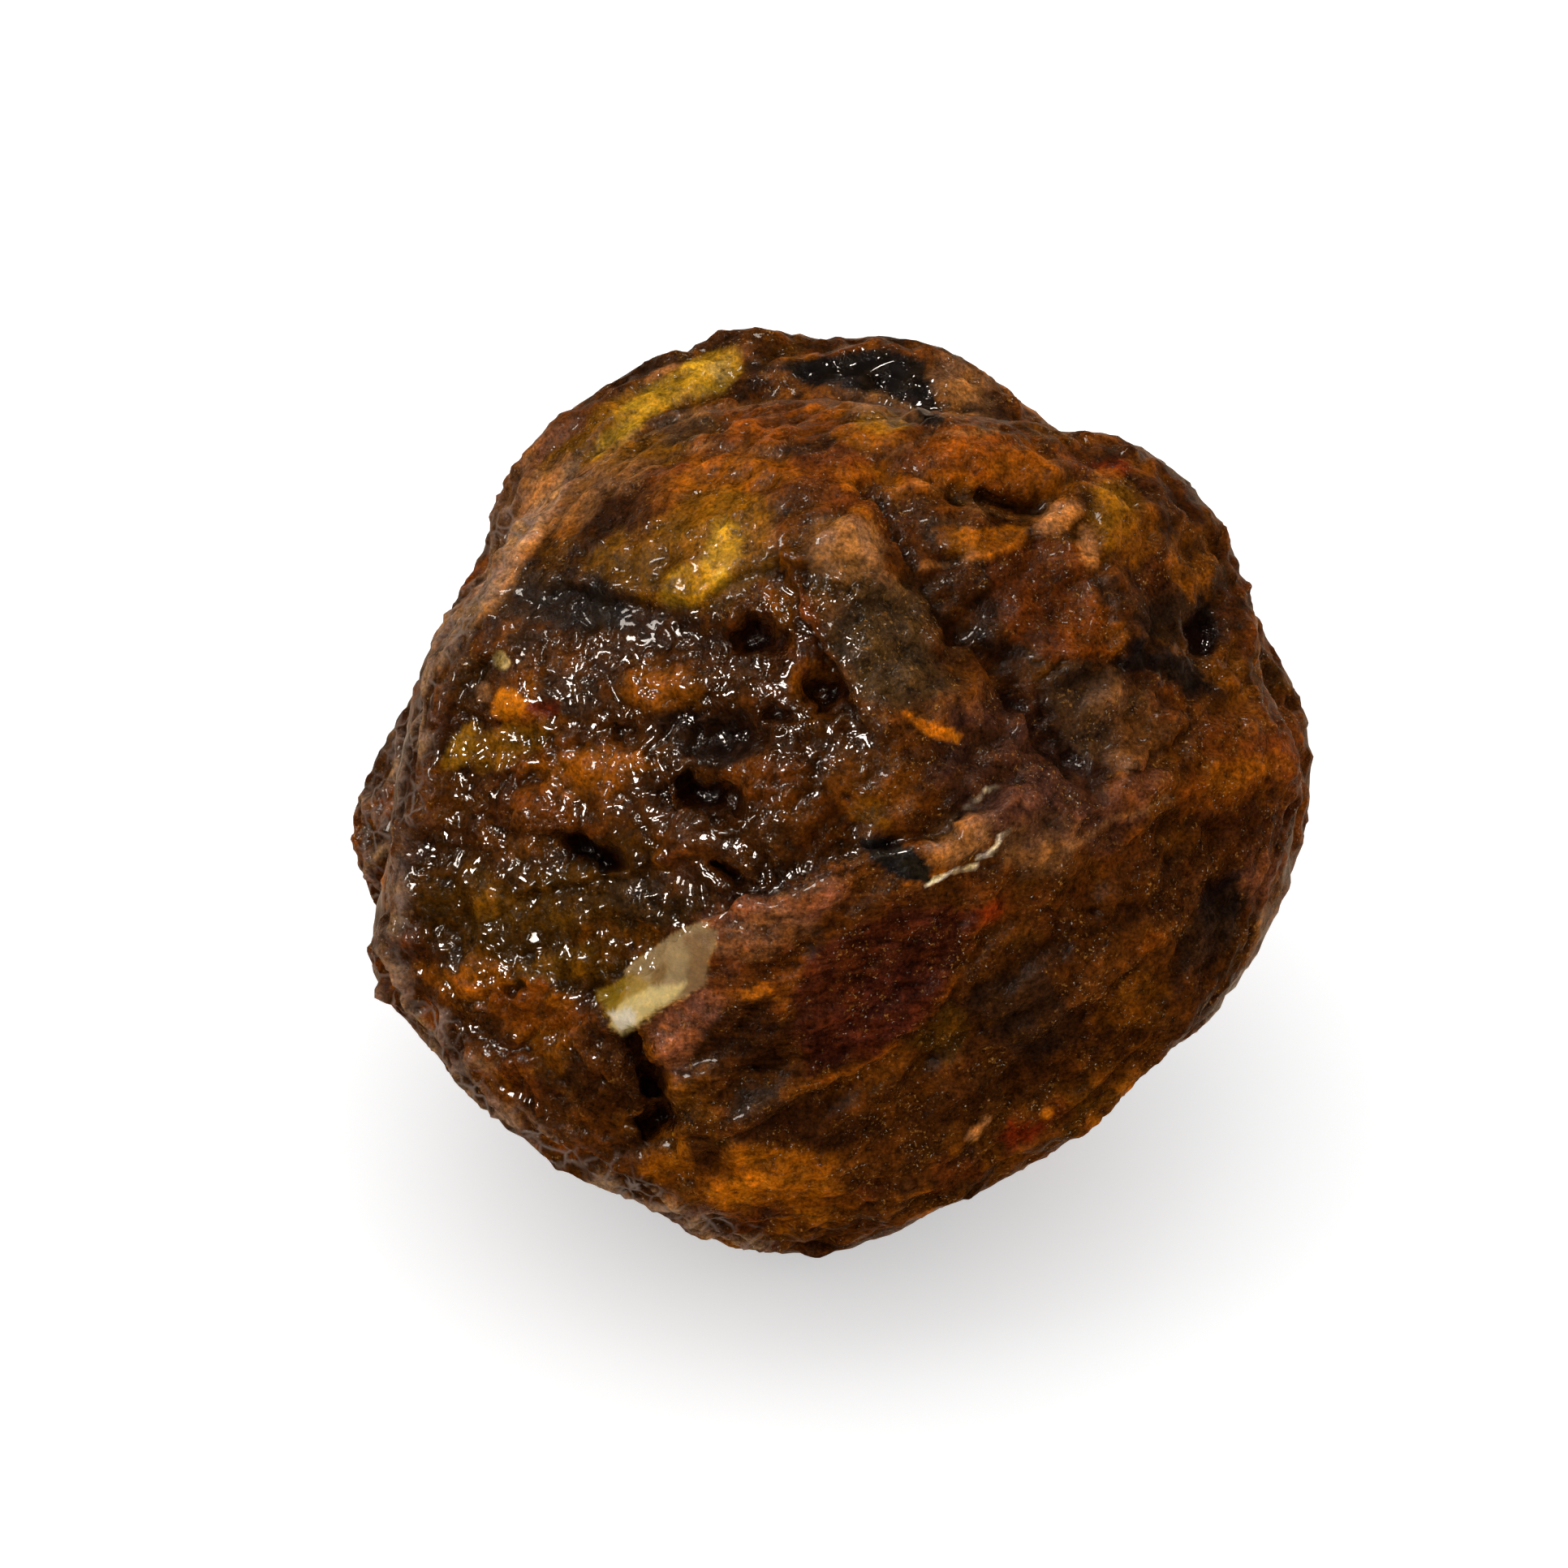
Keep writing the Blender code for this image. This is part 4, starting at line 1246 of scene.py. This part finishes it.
    def netting(self, skin: Skin) -> np.ndarray:
        """Works out the net of ridges along the rims, drawn out the way that each rim runs.

        Args:
            skin: The skin.

        Returns:
            Heights in millimetres.
        """
        on_flank = (self.flank > self.net)[:, None]
        rim = np.where(on_flank, ALONG_FLANK.squeeze(skin.points), ALONG_FOOT.squeeze(skin.points))
        near, gap, pick = NET.read(moved(rim, NET_EDGES))
        self.ridge = ramp(gap, 0.30, 0.0)
        self.pocket = ramp(near, 0.55, 0.30) * pick
        return self.heights.net * self.ridge - self.heights.pockets * (0.6 - near) * (0.4 + pick)

    def folds(self, skin: Skin, near: np.ndarray) -> np.ndarray:
        """Works out the veins, low knots and furrows of the dry crust.

        Args:
            skin: The skin.
            near: Each point's distance to the middle of its knob.

        Returns:
            Heights in millimetres.
        """
        ribbed = 1 - np.abs(VEINS.read(moved(skin.points, VEIN_EDGES)))
        veins = (ramp(ribbed, 0.75, 1.0) - 0.3) * self.calm * (1 - self.plate)
        knotted = 0.3 + 0.7 * ramp(KNOTTED.read(skin.points), 0.0, 1 / 3)
        knots = (0.5 - near) * self.calm * knotted
        furrows = FURROWS.read(moved(ALONG_FURROWS.squeeze(skin.points), FURROW_EDGES))
        furrows *= self.calm * skin.front * (0.4 + 0.6 * (1 - self.nets))
        return self.heights.veins * veins + self.heights.knots * knots + self.heights.furrows * furrows

    def grain(self, skin: Skin) -> np.ndarray:
        """Works out the finest relief that the skin can hold, in millimetres."""
        return GRAIN.read(skin.points) * (self.heights.grain - 0.04 * self.wetted - 0.03 * self.plate)

    # ------------------------------------------------------------ staining

    def stain(self, skin: Skin) -> None:
        """Stains the crust, paints shade and light by its relief, and sets wetness, grit and the ridges'
        film with painted sheen.

        Args:
            skin: The skin.
        """
        colour = self.ground(skin)
        self.stray_patches(skin, colour)
        self.best_side_patches(skin, colour)
        self.paint_relief_light_and_shade(skin, colour)
        self.lay_chip(skin, colour)
        self.stain_rims_and_paint_sheen(skin, colour)
        skin.layer(TONE_LAYER, np.column_stack((held(colour), np.ones(len(colour)))))
        dished = self.wet * (0.12 + 0.88 * self.sponge) * (1 - 0.8 * self.hole_shade) * (1 - 0.45 * self.dull)
        pools = ramp(POOLS.read(moved(skin.points, POOL_EDGES)), -0.11, 0.09)
        wet = held(np.maximum(dished * (0.25 + 0.75 * pools), 0.8 * self.spots))
        brightest = colour.max(axis=1)
        light = ramp(brightest, 0.02, 0.05)
        pale = ramp(brightest, 0.22, 0.47)
        flecked = (1 - 0.5 * self.sponge) * (1 - held(self.hole_shade)) * light
        grit = (0.5 + 0.5 * flecked) * (1 - 0.55 * pale) * (1 - self.chipped)
        finish = np.column_stack((wet, self.nets * self.calm, grit, held(self.plate)))
        skin.layer(FINISH_LAYER, finish)

    def ground(self, skin: Skin) -> np.ndarray:
        """Mixes the crust's own browns.

        Args:
            skin: The skin.

        Returns:
            One row of linear colour per point.
        """
        colour = np.tile(UMBER.rgb, (len(skin.points), 1))
        loose = moved(skin.points, GROUND_EDGES)
        for tone, browns, cut in GROUND:
            share = ramp(browns.read(loose), cut, cut + 1 / 6)
            self.mix(colour, tone, share * 0.75)
        return colour

    @staticmethod
    def mix(colour: np.ndarray, tone: Tone, share: np.ndarray) -> None:
        """Lays a tone over the colours, in place.

        Args:
            colour: One row of linear colour per point.
            tone: The tone.
            share: How much of it each point takes, 0 to 1.
        """
        colour += (tone.rgb - colour) * share[:, None]

    def stray_patches(self, skin: Skin, colour: np.ndarray) -> None:
        """Lays seeded patches over the sides that the best side's view misses.

        Args:
            skin: The skin.
            colour: The colours, changed in place.
        """
        rng = random.Random(self.seed)
        bent = moved(skin.points, *STRAY_EDGES)
        for _ in range(self.strays):
            spot = skin.points[rng.randrange(len(skin.points))]
            radius = rng.uniform(1.2, 4.6)
            tone = rng.choice(STRAY_TONES)
            strength = rng.uniform(0.4, 0.9)
            away = np.linalg.norm(bent - spot, axis=1) / radius
            self.mix(colour, tone, ramp(away, 1.0, 0.5455) * strength * skin.hidden)

    def best_side_patches(self, skin: Skin, colour: np.ndarray) -> None:
        """Lays the named patches and streaks over the best side.

        Args:
            skin: The skin.
            colour: The colours, changed in place.
        """
        bend = skin.bend(*STAIN_EDGES)
        speckle = 0.70 + 0.75 * SPECKLE.read(skin.points)
        for patch in PATCHES:
            out = oval(*VIEW.see(skin.points + patch.ragged * bend), patch)
            share = ramp(out, 1 + patch.soft / 2, 1 - patch.soft / 2)
            cover = held(speckle + patch.strength * 0.75)
            self.mix(colour, patch.tone, share * patch.strength * cover * skin.front)
        for plot in PLOTS:
            share = plot.share(*VIEW.see(skin.points + plot.ragged * bend))
            cover = held(speckle + plot.strength * 0.7)
            self.mix(colour, plot.tone, share * plot.strength * cover * skin.front)
        for streak in STREAKS:
            gap, _ = along_path(*VIEW.see(skin.points + streak.ragged * bend), streak.path)
            share = ramp(gap, 1.4 * streak.width, 0.4 * streak.width)
            self.mix(colour, streak.tone, share * streak.strength * skin.front)

    def paint_relief_light_and_shade(self, skin: Skin, colour: np.ndarray) -> None:
        """Paints shade into pits, creases, step feet and holes, paints light onto what stands up, and adds
        random blotches.

        Args:
            skin: The skin.
            colour: The colours, changed in place.
        """
        # painted shade and light: low relief darkened, raised relief lightened
        lift = np.clip(self.relief / 0.3, -1.2, 1.2)
        form = np.clip(self.form / 0.6, -1, 1)
        colour *= np.exp(0.40 * lift + 0.34 * form)[:, None]
        # random darker and lighter blotches of tone
        blotches = BLOTCHES.read(moved(skin.points, BLOTCH_EDGES))
        colour *= np.exp(1.1 * blotches)[:, None]
        # painted shade in deep pits, along creases and step feet, and in holes
        self.mix(colour, PAINTED_SHADE, 0.6 * self.deep * self.wetted)
        self.mix(colour, PAINTED_SHADE, 0.8 * held(self.crease_shade * skin.front))
        self.mix(colour, PAINTED_SHADE, 0.92 * held(self.hole_shade))

    def lay_chip(self, skin: Skin, colour: np.ndarray) -> None:
        """Lays the fresh chip, pale and clean, over everything else.

        Args:
            skin: The skin.
            colour: The colours, changed in place.
        """
        bend = skin.bend(STAIN_EDGES[0])
        self.chipped = np.zeros(len(skin.points))
        for plot in CHIP:
            share = plot.share(*VIEW.see(skin.points + plot.ragged * bend)) * skin.front
            self.mix(colour, plot.tone, share * plot.strength)
            self.chipped = np.maximum(self.chipped, share)

    def stain_rims_and_paint_sheen(self, skin: Skin, colour: np.ndarray) -> None:
        """Darkens the netted rims, reddens their pockets, and gives their ridges pale film that is partly
        painted sheen.

        Args:
            skin: The skin.
            colour: The colours, changed in place.
        """
        netted = np.maximum(self.net, self.flank)
        rims = netted * self.calm
        # pale film on the ridges, partly painted sheen
        film_with_sheen = self.ridge * netted * ramp(FILM_AND_SHEEN_PATCHES.read(skin.points), -1 / 6, 1 / 6)
        self.mix(colour, DARK_UMBER, 0.5 * rims)
        self.mix(colour, RUST, 0.8 * rims * ramp(self.pocket, 0.55, 0.80))
        self.mix(colour, FILM_AND_SHEEN, 0.65 * held(film_with_sheen))


# ---------------------------------------------------------------- the finish


@dataclass
class Bench:
    """Adds and joins nodes in one tree.

    Attributes:
        tree: The tree.
    """

    tree: bpy.types.NodeTree

    def add(self, kind: str, **settings: object) -> bpy.types.Node:
        """Adds a node.

        Args:
            kind: The node's type.
            **settings: Its settings, by name.

        Returns:
            The node.
        """
        node = self.tree.nodes.new(kind)
        for name, value in settings.items():
            setattr(node, name, value)
        return node

    def join(self, source: bpy.types.NodeSocket, target: bpy.types.NodeSocket) -> None:
        """Links one socket to another."""
        self.tree.links.new(source, target)

    def set(self, node: bpy.types.Node, values: dict[str, object]) -> None:
        """Sets a node's inputs to plain values, by name."""
        for name, value in values.items():
            node.inputs[name].default_value = value

    def feed(self, value: object, target: bpy.types.NodeSocket) -> None:
        """Links a socket to a target, or sets the target to a plain value."""
        if isinstance(value, bpy.types.NodeSocket):
            self.join(value, target)
        else:
            target.default_value = value

    def noise(self, place: bpy.types.NodeSocket, scale: float, detail: float,
              rough: float = 0.5) -> bpy.types.NodeSocket:
        """Adds soft noise.

        Args:
            place: Where it is read.
            scale: Waves per metre.
            detail: How many octaves.
            rough: How strong each finer octave is.

        Returns:
            The noise, about 0.3 to 0.7.
        """
        node = self.add("ShaderNodeTexNoise")
        self.set(node, {"Scale": scale, "Detail": detail, "Roughness": rough})
        self.join(place, node.inputs["Vector"])
        return node.outputs["Fac"]

    def spread(self, value: bpy.types.NodeSocket, low: float, high: float, to_low: float,
               to_high: float) -> bpy.types.NodeSocket:
        """Maps one range to another and holds what is outside.

        Args:
            value: What is mapped.
            low: Where to_low is reached.
            high: Where to_high is reached.
            to_low: The mapped value at low.
            to_high: The mapped value at high.

        Returns:
            The mapped value.
        """
        node = self.add("ShaderNodeMapRange")
        self.join(value, node.inputs["Value"])
        for name, number in zip(("From Min", "From Max", "To Min", "To Max"), (low, high, to_low, to_high)):
            node.inputs[name].default_value = number
        return node.outputs["Result"]

    def sum(self, operation: str, first: object, second: object, third: float = 1.0) -> bpy.types.NodeSocket:
        """Joins numbers by a Math operation.

        Args:
            operation: The operation's name.
            first: A socket or a number.
            second: A socket or a number.
            third: What MULTIPLY_ADD adds.

        Returns:
            The result.
        """
        node = self.add("ShaderNodeMath", operation=operation)
        self.feed(first, node.inputs[0])
        self.feed(second, node.inputs[1])
        node.inputs[2].default_value = third
        return node.outputs[0]

    def mix(self, share: object, under: object, over: object, way: str = "MIX") -> bpy.types.NodeSocket:
        """Lays one colour over another.

        Args:
            share: How much of the upper colour shows.
            under: The lower colour.
            over: The upper colour.
            way: How they blend.

        Returns:
            The mixed colour.
        """
        node = self.add("ShaderNodeMix", data_type="RGBA", blend_type=way)
        self.feed(share, node.inputs[0])
        self.feed(under, node.inputs[6])
        self.feed(over, node.inputs[7])
        return node.outputs[2]

    def scale_colour(self, colour: bpy.types.NodeSocket, by: bpy.types.NodeSocket) -> bpy.types.NodeSocket:
        """Makes a colour lighter or darker.

        Args:
            colour: The colour.
            by: What each channel is multiplied by.

        Returns:
            The scaled colour.
        """
        node = self.add("ShaderNodeVectorMath", operation="SCALE")
        self.join(colour, node.inputs[0])
        self.join(by, node.inputs["Scale"])
        return node.outputs["Vector"]


@dataclass(frozen=True)
class FleckAndGlint:
    """One kind of light speck: gold flecks of the crust, and pale specks that are partly painted glints.

    Attributes:
        scale: How fine its noise is; larger is finer.
        low: Noise at which a fleck begins.
        high: Noise at which it is full.
        strength: How much of it is laid, 0 to 1.
        colour: Its linear colour.
    """

    scale: float
    low: float
    high: float
    strength: float
    colour: tuple[float, float, float]


FLECKS_AND_GLINTS = (
    FleckAndGlint(2300, 0.62, 0.70, 0.45, (0.30, 0.11, 0.010)),
    FleckAndGlint(4700, 0.60, 0.69, 0.65, (0.62, 0.27, 0.050)),
    # pale specks: partly painted glints
    FleckAndGlint(6200, 0.66, 0.71, 0.75, (0.85, 0.74, 0.58)),
)


@dataclass(frozen=True)
class CrustFinish:
    """Wet amber crust: deep stained resin, grit, gold flecks, pale specks that are partly painted glints,
    ridge film with painted sheen and a film of water.

    Attributes:
        name: The material's name.
        ior: Refractive index of amber.
        see_through: Share of light that passes into the resin.
        absorbs: What colour the resin leaves, over about a millimetre's depth.
        density: How strongly the resin absorbs, per metre.
        glow: Share of light that wanders under the skin.
        glow_reach: How far red, green and blue wander, in metres.
        wet_rough: Roughness where the crust is wet.
        dry_rough: Roughness where it is worn.
        shine: How strongly the crust itself glints, under the film of water.
        dry_film: How much film a worn place keeps; a wet one has all of it.
        film_rough: Roughness of the film.
        film_ior: Refractive index of the film.
        ridge_film_and_sheen: How strongly the fine net of ridges takes pale film that is partly painted
            sheen.
        bump_depth: Depth of the finest relief, in metres.
        warm: What turns the stains towards amber.
        cool: What turns them towards brown.
    """

    name: str = "wet_amber_crust"
    ior: float = 1.54
    see_through: float = 0.05
    absorbs: tuple[float, float, float] = (0.92, 0.42, 0.06)
    density: float = 1400.0
    glow: float = 0.25
    glow_reach: tuple[float, float, float] = (0.0012, 0.0005, 0.0002)
    wet_rough: float = 0.10
    dry_rough: float = 0.16
    shine: float = 0.03
    dry_film: float = 0.13
    film_rough: float = 0.02
    film_ior: float = 1.38
    ridge_film_and_sheen: float = 0.62
    bump_depth: float = 0.00016
    warm: tuple[float, float, float] = (1.16, 0.89, 0.45)
    cool: tuple[float, float, float] = (0.88, 0.76, 0.70)

    def make(self) -> bpy.types.Material:
        """Builds the material.

        Returns:
            The material.
        """
        material = bpy.data.materials.new(self.name)
        material.use_nodes = True
        bench = Bench(material.node_tree)
        shader = bench.tree.nodes["Principled BSDF"]
        output = bench.tree.nodes["Material Output"]
        tone = bench.add("ShaderNodeAttribute", attribute_name=TONE_LAYER)
        finish = bench.add("ShaderNodeAttribute", attribute_name=FINISH_LAYER)
        split = bench.add("ShaderNodeSeparateColor")
        bench.join(finish.outputs["Color"], split.inputs["Color"])
        wet, nets, grit = split.outputs["Red"], split.outputs["Green"], split.outputs["Blue"]
        place = bench.add("ShaderNodeTexCoord").outputs["Object"]
        fibres = bench.sum("MULTIPLY", self.fibres(bench, place), finish.outputs["Alpha"])
        net = bench.sum("MULTIPLY", self.ridges(bench, place), nets)
        broken = self.colour(bench, place, tone.outputs["Color"], grit, fibres)
        # pale film on the ridges, partly painted sheen
        film = bench.sum("MULTIPLY", net, self.ridge_film_and_sheen)
        film_with_sheen = bench.mix(film, broken, (*FILM_AND_SHEEN.value, 1.0))
        bench.join(film_with_sheen, shader.inputs["Base Color"])
        bench.join(self.bump(bench, place, net), shader.inputs["Normal"])
        rough = bench.spread(wet, 0.0, 1.0, self.dry_rough, self.wet_rough)
        vary = bench.spread(bench.noise(place, 1800, 3), 0.35, 0.65, 0.75, 1.3)
        bench.join(bench.sum("MULTIPLY", rough, vary), shader.inputs["Roughness"])
        bench.join(bench.spread(wet, 0.0, 1.0, self.dry_film, 1.0), shader.inputs["Coat Weight"])
        bench.set(shader, {
            "Coat Roughness": self.film_rough,
            "Coat IOR": self.film_ior,
            "Specular IOR Level": self.shine,
            "IOR": self.ior,
            "Transmission Weight": self.see_through,
            "Subsurface Weight": self.glow,
            "Subsurface Radius": self.glow_reach,
            "Subsurface Scale": 1.0,
        })
        volume = bench.add("ShaderNodeVolumeAbsorption")
        bench.set(volume, {"Color": (*self.absorbs, 1.0), "Density": self.density})
        bench.join(volume.outputs["Volume"], output.inputs["Volume"])
        return material

    def ridges(self, bench: Bench, place: bpy.types.NodeSocket) -> bpy.types.NodeSocket:
        """Draws a fine irregular net of ridges.

        Args:
            bench: Where the nodes go.
            place: Object coordinates.

        Returns:
            1 on a ridge and 0 between.
        """
        bend = bench.add("ShaderNodeVectorMath", operation="MULTIPLY_ADD")
        bend.inputs[1].default_value = (0.0006, 0.0006, 0.0006)
        blurred = bench.add("ShaderNodeTexNoise")
        blurred.inputs["Scale"].default_value = 900
        bench.join(place, blurred.inputs["Vector"])
        bench.join(blurred.outputs["Color"], bend.inputs[0])
        bench.join(place, bend.inputs[2])
        foam = bench.add("ShaderNodeTexVoronoi", feature="DISTANCE_TO_EDGE")
        foam.inputs["Scale"].default_value = 900
        bench.join(bend.outputs["Vector"], foam.inputs["Vector"])
        line = bench.spread(foam.outputs["Distance"], 0.02, 0.13, 1.0, 0.0)
        return bench.sum("MULTIPLY", line, bench.spread(bench.noise(place, 500, 2), 0.38, 0.60, 0.1, 1.0))

    def fibres(self, bench: Bench, place: bpy.types.NodeSocket) -> bpy.types.NodeSocket:
        """Draws fine fibres that run up and to the right across the plate.

        Args:
            bench: Where the nodes go.
            place: Object coordinates.

        Returns:
            -0.5 to 0.5 across the fibres.
        """
        turned = bench.add("ShaderNodeMapping")
        turned.inputs["Rotation"].default_value = (math.radians(40 - 90), 0.0, math.radians(-38))
        turned.inputs["Scale"].default_value = (0.12, 1.0, 1.0)
        bench.join(place, turned.inputs["Vector"])
        return bench.sum("SUBTRACT", bench.noise(turned.outputs["Vector"], 2600, 4, 0.6), 0.5)

    def colour(self, bench: Bench, place: bpy.types.NodeSocket, tone: bpy.types.NodeSocket,
               grit: bpy.types.NodeSocket, fibres: bpy.types.NodeSocket) -> bpy.types.NodeSocket:
        """Breaks the stains up with mottling, fibres, dark grit, gold flecks and pale specks that are partly
        painted glints.

        Args:
            bench: Where the nodes go.
            place: Object coordinates.
            tone: The stains.
            grit: How gritty the crust is.
            fibres: The fibres of the plate.

        Returns:
            The colour.
        """
        warm = bench.mix(1.0, tone, (*self.warm, 1.0), "MULTIPLY")
        cool = bench.mix(1.0, tone, (*self.cool, 1.0), "MULTIPLY")
        turn = bench.spread(bench.noise(place, 800, 3, 0.6), 0.38, 0.62, 0.0, 1.0)
        tinted = bench.mix(turn, cool, warm)
        mottle = bench.spread(bench.noise(place, 1700, 4, 0.7), 0.28, 0.72, 0.30, 1.9)
        lined = bench.sum("MULTIPLY", mottle, bench.sum("MULTIPLY_ADD", fibres, 3.0))
        sandy = bench.spread(bench.noise(place, 5200, 3, 0.6), 0.34, 0.66, 0.55, 1.5)
        rough = bench.scale_colour(tinted, bench.sum("MULTIPLY", lined, sandy))
        mottled = bench.mix(bench.spread(grit, 0.0, 0.5, 0.80, 0.0), rough, tone)
        gather = bench.spread(bench.noise(place, 520, 3, 0.7), 0.46, 0.62, 0.02, 1.0)
        share = bench.sum("MULTIPLY", gather, bench.spread(grit, 0.5, 1.0, 0.0, 1.0))
        for fleck in FLECKS_AND_GLINTS:
            dots = bench.noise(place, fleck.scale, 3, 0.6)
            dots = bench.spread(dots, fleck.low, fleck.high, 0.0, fleck.strength)
            mottled = bench.mix(bench.sum("MULTIPLY", dots, share), mottled, (*fleck.colour, 1.0))
        return mottled

    def bump(self, bench: Bench, place: bpy.types.NodeSocket,
             net: bpy.types.NodeSocket) -> bpy.types.NodeSocket:
        """Roughens the skin below what its mesh can hold.

        Args:
            bench: Where the nodes go.
            place: Object coordinates.

        Returns:
            The normal.
        """
        fine = bench.noise(place, 3400, 3, 0.65)
        bump = bench.add("ShaderNodeBump")
        bench.set(bump, {"Strength": 1.0, "Distance": self.bump_depth})
        bench.join(bench.sum("ADD", fine, bench.sum("MULTIPLY", net, 0.8)), bump.inputs["Height"])
        return bump.outputs["Normal"]


# ---------------------------------------------------------------- the studio


WHITE = (1.0, 1.0, 1.0, 1.0)
GLINT_TONE = (1.0, 0.90, 0.80)  # of the windows that only glint
MIRRORED_TONE = (1.0, 0.74, 0.52, 1.0)  # of the room where the crust mirrors it


@dataclass(frozen=True)
class Lamp:
    """A softbox, or a small window that shows only as a glint in what is wet.

    Attributes:
        name: Its name.
        azimuth: Degrees round from the front, towards the left.
        elevation: Degrees above the floor.
        side: Side of the box, in metres.
        power: Its power, in watts.
        glint: Whether it only glints, and lights nothing.
        far: Distance from the lump, in metres.
    """

    name: str
    azimuth: float
    elevation: float
    side: float
    power: float
    glint: bool = False
    far: float = 0.60

    def hang(self, target: Vector) -> None:
        """Hangs the lamp so that it looks at the lump.

        Args:
            target: What it looks at, in metres.
        """
        turn, rise = math.radians(self.azimuth), math.radians(self.elevation)
        toward = Vector((-math.sin(turn) * math.cos(rise), -math.cos(turn) * math.cos(rise), math.sin(rise)))
        data = bpy.data.lights.new(self.name, "AREA")
        data.shape = "SQUARE"
        data.size = self.side
        data.energy = self.power
        if self.glint:
            data.color = GLINT_TONE
        lamp = bpy.data.objects.new(self.name, data)
        lamp.location = target + toward * self.far
        lamp.visible_diffuse = not self.glint
        lamp.visible_glossy = self.glint
        lamp.visible_transmission = not self.glint
        lamp.rotation_mode = "QUATERNION"
        lamp.rotation_quaternion = (-toward).to_track_quat("-Z", "Y")
        bpy.context.scene.collection.objects.link(lamp)


@dataclass
class Studio:
    """A pale floor, soft lights and the camera.

    Attributes:
        floor_side: Side of the floor, in metres.
        floor_tone: Linear grey of the floor.
        floor_glow: How strongly the floor is lit from below, as a light table is.
        fill: Strength of the light that comes from all round.
        backdrop: Strength of the room as the camera sees it.
        mirrored: Strength of the room where the crust mirrors it, at its brightest.
        lamps: The softboxes.
    """

    floor_side: float = 4.0
    floor_tone: float = 0.90
    floor_glow: float = 0.42
    fill: float = 0.72
    backdrop: float = 0.95
    mirrored: float = 0.4
    lamps: tuple[Lamp, ...] = (
        Lamp("left softbox", 95, 52, 0.40, 0.42),
        Lamp("top softbox", 180, 80, 0.45, 0.40),
        Lamp("right softbox", 230, 50, 0.40, 0.18),
        Lamp("left window", 62, 55, 0.11, 4.2, True),
        Lamp("low left window", 55, 26, 0.09, 2.6, True),
        Lamp("high left window", 30, 74, 0.045, 0.6, True),
        Lamp("far left window", 112, 48, 0.045, 0.7, True),
        Lamp("top window", 170, 80, 0.045, 0.6, True),
        Lamp("back window", 185, 52, 0.05, 0.5, True),
        Lamp("right window", 262, 62, 0.045, 0.35, True),
    )

    def set_up(self) -> None:
        """Lays the floor, hangs the lights and sets the camera."""
        self.lay_floor()
        self.light_room()
        target = Vector(VIEW.heart) * MM
        for lamp in self.lamps:
            lamp.hang(target)
        self.set_camera()
        scene = bpy.context.scene
        scene.view_settings.view_transform = "Standard"

    def lay_floor(self) -> None:
        """Lays a plain pale floor under the lump."""
        bm = bmesh.new()
        bmesh.ops.create_grid(bm, x_segments=1, y_segments=1, size=self.floor_side / 2)
        mesh = bpy.data.meshes.new("floor")
        bm.to_mesh(mesh)
        bm.free()
        floor = bpy.data.objects.new("floor", mesh)
        material = bpy.data.materials.new("pale_floor")
        material.use_nodes = True
        shader = material.node_tree.nodes["Principled BSDF"]
        bench = Bench(material.node_tree)
        bench.set(shader, {
            "Base Color": (self.floor_tone, self.floor_tone, self.floor_tone, 1.0),
            "Roughness": 1.0,
            "Specular IOR Level": 0.0,
            "Emission Color": WHITE,
        })
        seen = bench.add("ShaderNodeLightPath").outputs["Is Camera Ray"]
        bench.join(bench.sum("MULTIPLY", seen, self.floor_glow), shader.inputs["Emission Strength"])
        mesh.materials.append(material)
        bpy.context.scene.collection.objects.link(floor)
        floor.visible_glossy = False

    def light_room(self) -> None:
        """Fills the room with light, bright low down behind and dark by the camera."""
        world = bpy.data.worlds.new("room")
        world.use_nodes = True
        bpy.context.scene.world = world
        bench = Bench(world.node_tree)
        light = bench.tree.nodes["Background"]
        path = bench.add("ShaderNodeLightPath")
        split = bench.add("ShaderNodeSeparateXYZ")
        bench.join(bench.add("ShaderNodeTexCoord").outputs["Generated"], split.inputs["Vector"])
        low = bench.spread(split.outputs["Z"], 0.14, 0.0, 0.0, self.mirrored)
        behind = bench.spread(split.outputs["Y"], 0.25, 0.65, 0.0, 1.0)
        glossy, seen = path.outputs["Is Glossy Ray"], path.outputs["Is Camera Ray"]
        mirrored = bench.sum("MULTIPLY", glossy, bench.sum("MULTIPLY", low, behind))
        shown = bench.sum("MULTIPLY", seen, self.backdrop)
        others = bench.sum("SUBTRACT", 1.0, bench.sum("MAXIMUM", glossy, seen))
        filled = bench.sum("MULTIPLY", others, self.fill)
        total = bench.sum("ADD", bench.sum("ADD", mirrored, shown), filled)
        tint = bench.mix(glossy, WHITE, MIRRORED_TONE)
        bench.join(tint, light.inputs["Color"])
        bench.join(total, light.inputs["Strength"])

    def set_camera(self) -> None:
        """Sets the camera where it looks at the best side."""
        data = bpy.data.cameras.new("show camera")
        data.lens = VIEW.lens
        data.sensor_width = VIEW.sensor
        data.clip_start = 0.01
        camera = bpy.data.objects.new("show camera", data)
        camera.location = Vector(VIEW.place) * MM
        camera.rotation_mode = "QUATERNION"
        camera.rotation_quaternion = Vector(-VIEW.back).to_track_quat("-Z", "Y")
        bpy.context.scene.collection.objects.link(camera)
        bpy.context.scene.camera = camera


def main() -> None:
    """Builds the lump and the studio."""
    logging.basicConfig(level=logging.INFO, format="%(message)s")
    piece = AmberLump().build()
    piece.data.materials.clear()
    piece.data.materials.append(CrustFinish().make())
    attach(piece, "root")
    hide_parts(NODE)
    triangles = sum(len(face.vertices) - 2 for face in piece.data.polygons)
    LOG.info("%s: %d points, %d triangles", piece.name, len(piece.data.vertices), triangles)
    Studio().set_up()
    LOG.info("studio: floor, %d lamps and camera", len(Studio.lamps))


if __name__ == "__main__":
    main()
